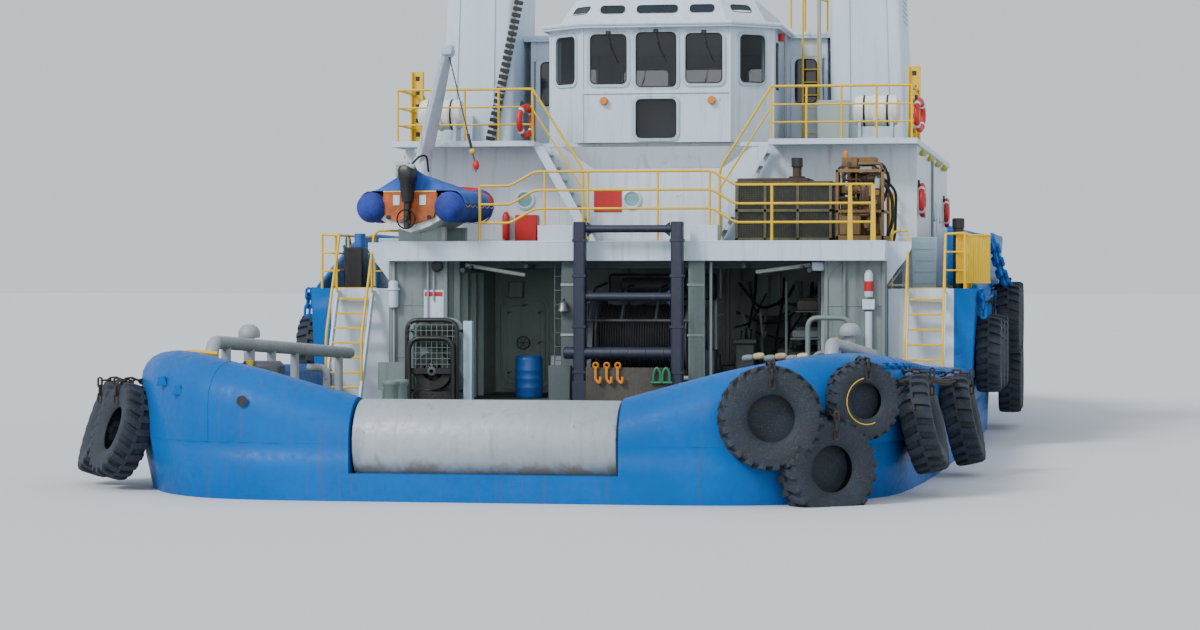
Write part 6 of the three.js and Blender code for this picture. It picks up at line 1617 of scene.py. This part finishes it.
piece.add("white",
          loft([[(x, RADAR_Y + a * k, 11.18 + b * k) for a, b in section]
                for x, k in ((-0.9, 0.7), (-0.88, 1), (0.88, 1), (0.9, 0.7))]),
          lathe([(0.14, 0.0003), (0.14, 0.06), (0.08, 0.11), (0.06, 0.12)], (0, RADAR_Y, 11.0), sides=24))
piece.done()


# Rescue boat on its cradle: tubes, cover, transom and outboard
BOAT = ((-4.2, -3.3, 4.77), (0, 0, -8))


def in_boat(shape):
    return moved(shape, *BOAT)


piece = Piece("rescue_boat_tubes", "boat_blue", replaces=["rescue_boat"], place=in_boat)
line = rounded([(-0.83, -1.4, 0), (-0.83, 0.3, 0.02), (-0.66, 0.95, 0.14), (0, 1.25, 0.2), (0.66, 0.95, 0.14),
                (0.83, 0.3, 0.02), (0.83, -1.4, 0)], 0.4, 5)
# More rings along the straight ends, for the grab line's side
steps = [k / 8 for k in range(1, 8)]
line[-1:] = [line[-2].lerp(line[-1], t) for t in (*steps, 1)]
line[:1] = [line[0].lerp(line[1], t) for t in (0, *steps)]
verts, faces = tube(line, 0.3, 24)
bow_faces = [f for f in faces if sum(verts[i][1] for i in f) / len(f) > 0.72]
piece.add("tube_blue", (verts, [f for f in faces if f not in bow_faces]))
piece.add("red", (verts, bow_faces))
for s in (-1, 1):
    piece.add("tube_blue",
              lathe([(0.3, 0), (0.3, 0.02), (0.285, 0.08), (0.24, 0.14), (0.16, 0.19), (0.06, 0.215), (0.001, 0.22)],
                    (s * 0.83, -1.4, 0), (0, -1, 0), 24))
    for y in (-1.36, -0.9, -0.3, 0.3):
        piece.add("tube_blue",
                  lathe([(0.3, -0.05), (0.307, -0.045), (0.307, 0.045), (0.3, 0.05)], (s * 0.83, y, 0), (0, 1, 0), 24,
                        True))
    # Grab line in loops along the tube
    loops = [(s * 1.137, -1.3 + 0.07 * k, 0.05 - 0.05 * abs(math.sin(k * math.pi / 4))) for k in range(25)]
    piece.add("rope", tube(loops, 0.009, 6))
# Orange transom with two plates and a yellow capping
transom = [(-0.56, 0.3), (-0.6, 0.05), (-0.5, -0.22), (0, -0.36), (0.5, -0.22), (0.6, 0.05), (0.56, 0.3)]
piece.add("tube_orange", slab(transom, "xz", -1.42, -1.34, 0.01))
piece.add("yellow", rod((-0.56, -1.42, 0.31), (0.56, -1.42, 0.31), 0.016, 8))
for x in (-0.28, 0.28):
    piece.add("white", block((x - 0.07, -1.435, 0.04), (x + 0.07, -1.42, 0.24), 0.006))
for x in (-0.45, 0.42):
    piece.add("black", lathe([(0.02, 0), (0.045, 0.01), (0.045, 0.03)], (x, -1.42, -0.2), (0, -1, 0), 12))
# Pale hull underneath
hull_rows = []
for y, wide, chine, deep in ((-1.36, 0.72, -0.2, -0.5), (-0.4, 0.74, -0.2, -0.5), (0.4, 0.7, -0.18, -0.47),
                             (0.85, 0.5, -0.1, -0.32), (1.15, 0.2, 0.0, -0.08)):
    hull_rows.append([(-wide, y, 0.05), (-wide, y, chine), (-wide * 0.5, y, (chine + deep) / 2 - 0.04), (0, y, deep),
                      (wide * 0.5, y, (chine + deep) / 2 - 0.04), (wide, y, chine), (wide, y, 0.05)])
piece.add("boat_hull", loft(hull_rows))
# Outboard: cowl, leg and propeller guard
cowl = []
for z, a, b in ((0.1, 0.08, 0.14), (0.25, 0.1, 0.16), (0.5, 0.12, 0.18), (0.56, 0.15, 0.2), (0.74, 0.16, 0.21),
                (0.82, 0.12, 0.17), (0.84, 0.04, 0.08)):
    cowl.append([(x, y - 1.54, z) for x, y in rounded_rect(2 * a, 2 * b, min(a, b) * 0.55, 4)])
piece.add("black", loft(cowl),
          slab([(-1.64, -0.42), (-1.62, 0.12), (-1.46, 0.12), (-1.48, -0.42)], "yz", -0.055, 0.055, 0.02),
          lathe([(0.19, -0.04), (0.205, 0.0), (0.19, 0.04), (0.175, 0)], (0, -1.62, -0.24), (0, 1, 0), 28, True),
          drum((0, -1.68, -0.24), (0, -1.5, -0.24), 0.045, 16, 0.01),
          block((-0.04, -1.45, -0.02), (0.04, -1.3, 0.3), 0.01))
for k in range(3):
    piece.add("black",
              moved(slab([(0.02, 0.03), (0.05, 0.12), (-0.03, 0.12), (-0.02, 0.03)], "xz", -0.008, 0.008),
                    (0, -1.64, -0.24), (0, 120 * k, 18)))
piece.add("casing", drum((-0.26, -1.5, 0.84), (0.02, -1.5, 0.84), 0.07, 18, 0.02),
          block((-0.24, -1.62, 0.6), (-0.14, -1.4, 0.8), 0.02),
          drum((0.02, -1.66, 0.8), (0.2, -1.66, 0.8), 0.05, 14, 0.01))
piece.add("hose", pipe([(0.05, -1.5, 0.82), (0.2, -1.4, 1.02), (0.28, -1.2, 1.04), (0.24, -1.0, 0.72)], 0.022, 8))
piece.done()

# Blue cover drawn over a ridge from tube to tube, with its folds; red forward
COVER_ROWS, COVER_COLS, FIRST_RED_ROW, COVER_WIDTH = 34, 48, 23, 2.3
cover_verts = []
RIDGE = [(-1.29, 0.765), (-0.2, 0.62), (0.4, 0.48), (0.89, 0.33)]
for r in range(COVER_ROWS + 1):
    y = -1.29 + 2.17 * max(0, r - 1) / (COVER_ROWS - 1)
    after, ahead = [pair for pair in zip(RIDGE, RIDGE[1:]) if pair[0][0] <= y][-1]
    ridge = after[1] + (ahead[1] - after[1]) * (y - after[0]) / (ahead[0] - after[0])
    narrow = 1 if y < 0.4 else 1 - 0.4 * (y - 0.4)
    for c in range(COVER_COLS + 1):
        u = -1 + 2 * c / COVER_COLS
        a = abs(u)
        if a < 0.66:
            t = a / 0.66
            x, z = 0.88 * t, 0.3 + (ridge - 0.3) * (1 - t) ** 1.1 + 0.015
            fall = 1
        else:
            t = (a - 0.66) / 0.34 * math.radians(80)
            x, z = 0.88 + 0.26 * math.sin(t), 0.315 - 0.31 * (1 - math.cos(t))
            fall = 0.35
        fold = 0.014 * math.sin(9 * u + 3.1 * y) + 0.01 * math.sin(17 * u - 6 * y) + 0.02 * math.sin(3.2 * y + 5 * a)
        z += fall * 0.6 * fold + 0.01
        if r == 0:
            # End flap hanging to the capping of the transom
            z = min(z, 0.33)
        cover_verts.append(((1 if u > 0 else -1) * x * narrow, y - (0.05 if r == 0 else 0), z))
corners = [r * (COVER_COLS + 1) + c for r in range(COVER_ROWS) for c in range(COVER_COLS)]
cover_faces = [(k, k + 1, k + COVER_COLS + 2, k + COVER_COLS + 1) for k in corners]
cover = Piece("rescue_boat_cover", "boat_blue", place=in_boat)
cover.add("tarp_blue", (cover_verts, cover_faces))
cover = cover.done(80)
cover.data.materials.append(MAT["tarp_red"])
for face in cover.data.polygons:
    face.material_index = 1 if face.index // COVER_COLS >= FIRST_RED_ROW else 0

# Davit: post, then the arm that slews on it with its slanting fall
DAVIT = (-4.8, -1.8, 5.4)
HEAD, HOOK = (0.77, -1.05, 2.63), (1.37, -1.1, 0.24)
piece = Piece("davit_post", "casing_grey")
profile = [(0.3, 0), (0.3, 0.03), (0.17, 0.05), (0.155, 0.1), (0.155, 1.2), (0.2, 1.22), (0.2, 1.31)]
piece.add("davit", lathe(profile, (DAVIT[0], DAVIT[1], BOAT_DECK), sides=32))
for k in range(8):
    t = math.pi * k / 4
    x, y = DAVIT[0] + 0.26 * math.cos(t), DAVIT[1] + 0.26 * math.sin(t)
    piece.add("steel", post(x, y, 4.1, 4.14, 0.018, 6))
piece.done()


def davit(shape):
    return moved(shape, DAVIT)


piece = Piece("davit_arm_plated", "casing_grey", "davit", ["davit_arm"], place=davit)
piece.add("davit", lathe([(0.2, 0.003), (0.2, 0.03), (0.185, 0.05), (0.185, 0.46), (0.15, 0.5)], sides=32))
base, head = Vector((0, 0, 0.35)), Vector(HEAD)
way = (head - base).normalized()
across = Vector((0, 0, 1)).cross(way).normalized()
rows = []
for t, wide, deep in ((0, 0.15, 0.12), (0.5, 0.13, 0.11), (1, 0.09, 0.085)):
    middle = base.lerp(head, t)
    rows.append([middle + across * a + way.cross(across) * b for a, b in rounded_rect(2 * wide, 2 * deep, 0.03, 3)])
piece.add("davit", loft(rows))
for s in (-1, 1):
    piece.add("white",
              tube([base.lerp(head, t) + across * (s * wide)
                    for t, wide in ((0.04, 0.152), (0.5, 0.132), (0.98, 0.092))], 0.016, 6))
hx, hy, hz = HEAD
fall = lambda t: tuple(a + (b - a) * t for a, b in zip(HEAD, HOOK))
piece.add("davit", block((hx - 0.12, hy - 0.12, hz - 0.11), (hx + 0.12, hy + 0.12, hz + 0.11), 0.03),
          lathe([(0.03, -0.04), (0.1, -0.04), (0.08, 0), (0.1, 0.04), (0.03, 0.04)], (hx + 0.05, hy, hz - 0.04),
                (0, 1, 0), 24, True))
piece.add("black", pipe([(0.1, -0.2, 0.6), (0.3, -0.38, 1.1), (0.4, -0.45, 1.5), (0.6, -0.75, 2.1)], 0.02, 8),
          rod(fall(0.02), fall(0.99), 0.012, 8), rod(fall(0.72), fall(0.84), 0.03, 10))
piece.add("yellow",
          lathe([(0.001, -0.065), (0.045, -0.045), (0.065, 0), (0.045, 0.045), (0.001, 0.065)], fall(0.87),
                sides=20))
piece.add("red", lathe([(0.02, 0.13), (0.05, 0.1), (0.07, 0.02), (0.05, -0.05), (0.02, -0.07)], HOOK, sides=20))
piece.add("steel",
          moved(lathe([(0.045, -0.012), (0.057, 0), (0.045, 0.012), (0.033, 0)], (0, 0, 0), (1, 0.3, 0), 20, True),
                (HOOK[0], HOOK[1], HOOK[2] - 0.07)))
piece.add("pipe", block((-0.12, 0.09, 0.15), (0.14, 0.2, 0.42), 0.02),
          drum((-0.16, 0, 0.58), (0.16, 0, 0.58), 0.09, 20, 0.01))
piece.done()

# Machinery by the starboard rail: screened cooler box and ochre power pack
piece = Piece("cooler_box_screened", "cover_olive", replaces=["covered_box"])
x0, x1, y0, y1, z0, z1 = 2.0, 3.93, -3.7, -2.0, BOAT_DECK, 5.28
piece.add("interior", block((x0 + 0.06, y0 + 0.06, z0 + 0.02), (x1 - 0.06, y1 - 0.04, z1 - 0.03), 0.01))
for x in (x0 + 0.03, 2.6, 3.25, x1 - 0.03):
    for y in (y0 + 0.03, y1 - 0.03):
        piece.add("olive", block((x - 0.03, y - 0.03, z0), (x + 0.03, y + 0.03, z1), 0.006))
for z in (z0 + 0.05, z0 + 0.62, z1 - 0.05):
    piece.add("olive", block((x0, y0, z - 0.03), (x1, y0 + 0.03, z + 0.03), 0.006),
              block((x0, y1 - 0.03, z - 0.03), (x1, y1, z + 0.03), 0.006),
              block((x0, y0, z - 0.03), (x0 + 0.03, y1, z + 0.03), 0.006),
              block((x1 - 0.03, y0, z - 0.03), (x1, y1, z + 0.03), 0.006))
for k in range(58):
    x = x0 + 0.05 + k * (x1 - x0 - 0.1) / 57
    piece.add("mesh", tube([(x, y0 + 0.015, z0 + 0.04), (x, y0 + 0.015, z1 - 0.04)], 0.006, 4))
for k in range(30):
    z = z0 + 0.06 + k * 0.038
    piece.add("mesh", tube([(x0 + 0.04, y0 + 0.02, z), (x1 - 0.04, y0 + 0.02, z)], 0.005, 4))
piece.add("olive", block((x0, y0, z1 - 0.02), (x1, y1, z1), 0.004))
piece.add("dark_pipe", block((x0 + 0.02, y0 + 0.2, z1), (x0 + 1.45, y1 - 0.3, z1 + 0.07), 0.012),
          can(3.17, -3.0, z1, z1 + 0.47, 0.09, 24, 0.01))
piece.add("black", can(3.17, -3.0, z1 + 0.3, z1 + 0.49, 0.115, 24, 0.01),
          can(3.17, -3.0, z1, z1 + 0.12, 0.17, 24, 0.02))
piece.done()

piece = Piece("power_pack_engine", "pack_ochre", replaces=["power_pack"])
x0, x1, y0, y1, z0 = 4.0, 4.96, -3.7, -2.1, BOAT_DECK
piece.add("ochre", block((x0, y0, z0), (x1, y1, z0 + 0.12), 0.01),
          block((x0 + 0.08, y0 + 0.3, z0 + 0.12), (x1 - 0.1, y1 - 0.1, z0 + 0.9), 0.04),
          block((x0 + 0.05, y0 + 0.02, z0 + 0.12), (x0 + 0.5, y0 + 0.4, z0 + 0.55), 0.03),
          block((x0 + 0.1, y0 + 0.15, z0 + 0.95), (x1 - 0.15, y1 - 0.2, z0 + 1.1), 0.02),
          block((x0 + 0.1, y0 + 0.2, z0 + 1.38), (x0 + 0.42, y0 + 0.55, z0 + 1.68), 0.02),
          block((x0 + 0.42, y0 + 0.25, z0 + 1.55), (x0 + 0.8, y0 + 0.7, z0 + 1.68), 0.02))
for x in (x0 + 0.03, x1 - 0.03):
    for y in (y0 + 0.03, y1 - 0.03):
        piece.add("ochre", block((x - 0.03, y - 0.03, z0), (x + 0.03, y + 0.03, z0 + 1.42), 0.006))
for z in (z0 + 0.6, z0 + 1.4):
    piece.add("ochre", block((x0, y0, z - 0.03), (x1, y0 + 0.05, z + 0.03), 0.006),
              block((x1 - 0.05, y0, z - 0.03), (x1, y1, z + 0.03), 0.006))
for k in range(6):
    y = y0 + 0.35 + 0.2 * k
    piece.add("dark_pipe", can(x1 - 0.2, y, z0 + 0.9, z0 + 1.12, 0.06, 14, 0.01),
              can(x0 + 0.3, y, z0 + 0.9, z0 + 1.2, 0.07, 14, 0.01))
piece.add("dark_pipe", drum((x0 + 0.2, y0 + 0.5, z0 + 1.25), (x1 - 0.1, y0 + 0.5, z0 + 1.25), 0.13, 24, 0.02),
          can(x0 + 0.65, y0 + 0.2, z0 + 0.2, z0 + 0.52, 0.1, 20, 0.02),
          lathe([(0.02, 0), (0.2, 0), (0.24, 0.03), (0.24, 0.08), (0.1, 0.1)], (x0 + 0.7, y0 + 0.22, z0 + 0.85),
                (0, -1, 0), 28))
piece.add("casing", can(x1 - 0.14, y0 + 0.15, z0 + 1.05, z0 + 1.3, 0.06, 18, 0.01))
for k in range(46):
    a = Vector((rng.uniform(x0 + 0.04, x1 - 0.04), rng.uniform(y0 + 0.01, y0 + 0.7), z0 + rng.uniform(0.15, 1.6)))
    b = Vector((rng.uniform(x0 + 0.04, x1 - 0.04), rng.uniform(y0 + 0.01, y0 + 0.7), z0 + rng.uniform(0.15, 1.5)))
    c = Vector((a.x, b.y, b.z)) if k % 2 else Vector((b.x, a.y, a.z))
    piece.add(("dark_pipe", "ochre", "hose", "dark_pipe", "chain")[k % 5],
              pipe([a, c, b], rng.uniform(0.012, 0.03), 8, 0.08))
for k in range(22):
    at = Vector((rng.uniform(x0 + 0.05, x1 - 0.12), y0 + rng.uniform(0.0, 0.1), z0 + rng.uniform(0.2, 1.5)))
    size = rng.uniform(0.04, 0.11)
    piece.add(("ochre", "dark_pipe")[k % 2], block(at, at + Vector((size, size * 0.6, size * 1.2)), 0.008))
# Hoses hanging at the outboard side, yellow lamp on top
piece.add("hose", pipe([(4.9, -3.5, 5.3), (5.1, -3.45, 5.0), (5.12, -3.4, 4.5), (5.0, -3.3, 4.2)], 0.035, 10),
          pipe([(4.85, -3.2, 5.4), (5.16, -3.1, 5.1), (5.14, -3.1, 4.2), (5.05, -3.2, 3.9)], 0.028, 10),
          pipe([(4.5, -3.3, 5.6), (4.9, -3.3, 5.66), (5.05, -3.2, 5.3), (4.9, -3.0, 4.9)], 0.03, 10))
piece.add("orange",
          lathe([(0.05, 0), (0.055, 0.03), (0.05, 0.1), (0.02, 0.13), (0.001, 0.135)], (4.17, -3.3, 5.76), sides=18))
piece.done()

# Windlass on the foredeck. Y and Z of its axle
WINDLASS = (14.8, 4.0)
piece = Piece("windlass_frame", "deck_green", replaces=["windlass_base"])
piece.add("sea_green", block((-1.1, 14.2, 3.2), (1.1, 15.4, 3.45), 0.02))
for x in (-0.9, -0.3, 0.3, 0.9):
    piece.add("sea_green",
              slab([(14.3, 3.3), (15.3, 3.3), (15.1, 4.1), (15.0, 4.25), (14.6, 4.25), (14.5, 4.1)], "yz", x - 0.06,
                   x + 0.06, 0.012),
              lathe([(0.08, 0.06), (0.15, 0.06), (0.15, 0.09), (0.1, 0.1)], (x, *WINDLASS), (1, 0, 0), 20) if x > 0.5
              else block((x - 0.02, 14.7, 3.9), (x + 0.02, 14.9, 4.1), 0.004))
piece.done()
piece = Piece("windlass_gypsies", "deck_green", "windlass", ["windlass_drum"])
piece.add("winch", drum((-1.34, *WINDLASS), (1.34, *WINDLASS), 0.078, 20, 0.005))
for x in (-0.6, 0.6):
    piece.add("sea_green",
              lathe([(0.1, -0.16), (0.37, -0.16), (0.38, -0.13), (0.33, -0.07), (0.26, -0.03), (0.26, 0.03),
                     (0.33, 0.07), (0.38, 0.13), (0.37, 0.16), (0.1, 0.16)], (x, *WINDLASS), (1, 0, 0), 32))
for s in (-1, 1):
    piece.add("sea_green",
              lathe([(0.1, 0), (0.24, 0.01), (0.2, 0.06), (0.17, 0.15), (0.18, 0.27), (0.235, 0.34), (0.1, 0.35)],
                    (s * 1.0, *WINDLASS), (s, 0, 0), 28))
piece.done()

# Working deck: boxes, pipe arches, small floats on the stern rail and a chain along the deck
piece = Piece("deck_gear", "deck_green")
piece.add("shade_grey", block((-1.67, -4.3, DECK), (-1.22, -4.0, 1.62), 0.02))
piece.add("winch", block((4.0, -6.5, DECK), (4.7, -5.2, 1.35), 0.03),
          block((-4.8, -15.3, DECK), (-4.15, -14.7, 2.0), 0.08))
piece.add("sea_green",
          pipe([(3.52, -4.4, DECK), (3.52, -4.4, 2.58), (4.35, -4.4, 2.58), (4.35, -4.4, DECK)], 0.05, 12, 0.2),
          pipe([(3.64, -4.4, DECK), (3.64, -4.4, 1.9), (4.23, -4.4, 1.9), (4.23, -4.4, DECK)], 0.04, 12, 0.16))
for k in range(7):
    x = 3.75 + 0.17 * k
    piece.add(("casing", "rope")[k % 2],
              lathe([(0.02, -0.09), (0.045, -0.07), (0.055, 0), (0.045, 0.07), (0.02, 0.09)],
                    (x, -16.6, 2.13 + 0.03 * (k % 2)), (1, 0.1, 0.1), 16))
piece.add("chain", chain([(1.8, -12, 0.92), (3.0, -10, 0.92), (3.1, -7, 0.92)], 0.03, 0.2))
piece.done()
print("pieces made")

# Stage: pale floor at the waterline, pale sky, a soft sun and a weaker light from astern
mesh = bpy.data.meshes.new("floor")
mesh.from_pydata([(-400, -300, 0), (400, -300, 0), (400, 500, 0), (-400, 500, 0)], [], [(0, 1, 2, 3)])
floor_paint = Shader("floor_pale")
cloud = floor_paint.noise(0.05, 3, 0.5)
floor_paint.link(floor_paint.mix(cloud, srgb(205, 209, 212), srgb(214, 217, 219)),
                 floor_paint.bsdf.inputs["Base Color"])
floor_paint.bsdf.inputs["Roughness"].default_value = 0.8
mesh.materials.append(floor_paint.material)
floor = bpy.data.objects.new("floor", mesh)
scene.collection.objects.link(floor)

world = bpy.data.worlds.new("studio")
scene.world = world
world.use_nodes = True
world.node_tree.nodes["Background"].inputs["Color"].default_value = (0.80, 0.86, 0.92, 1)
world.node_tree.nodes["Background"].inputs["Strength"].default_value = 1.0
for name, angles, energy, size in (("sun_soft", (52, 0, -38), 2.6, 0.3), ("fill_soft", (80, 0, 10), 0.9, 1.0)):
    light = bpy.data.lights.new(name, "SUN")
    light.energy, light.angle = energy, size
    made = bpy.data.objects.new(name, light)
    made.rotation_euler = [math.radians(a) for a in angles]
    scene.collection.objects.link(made)
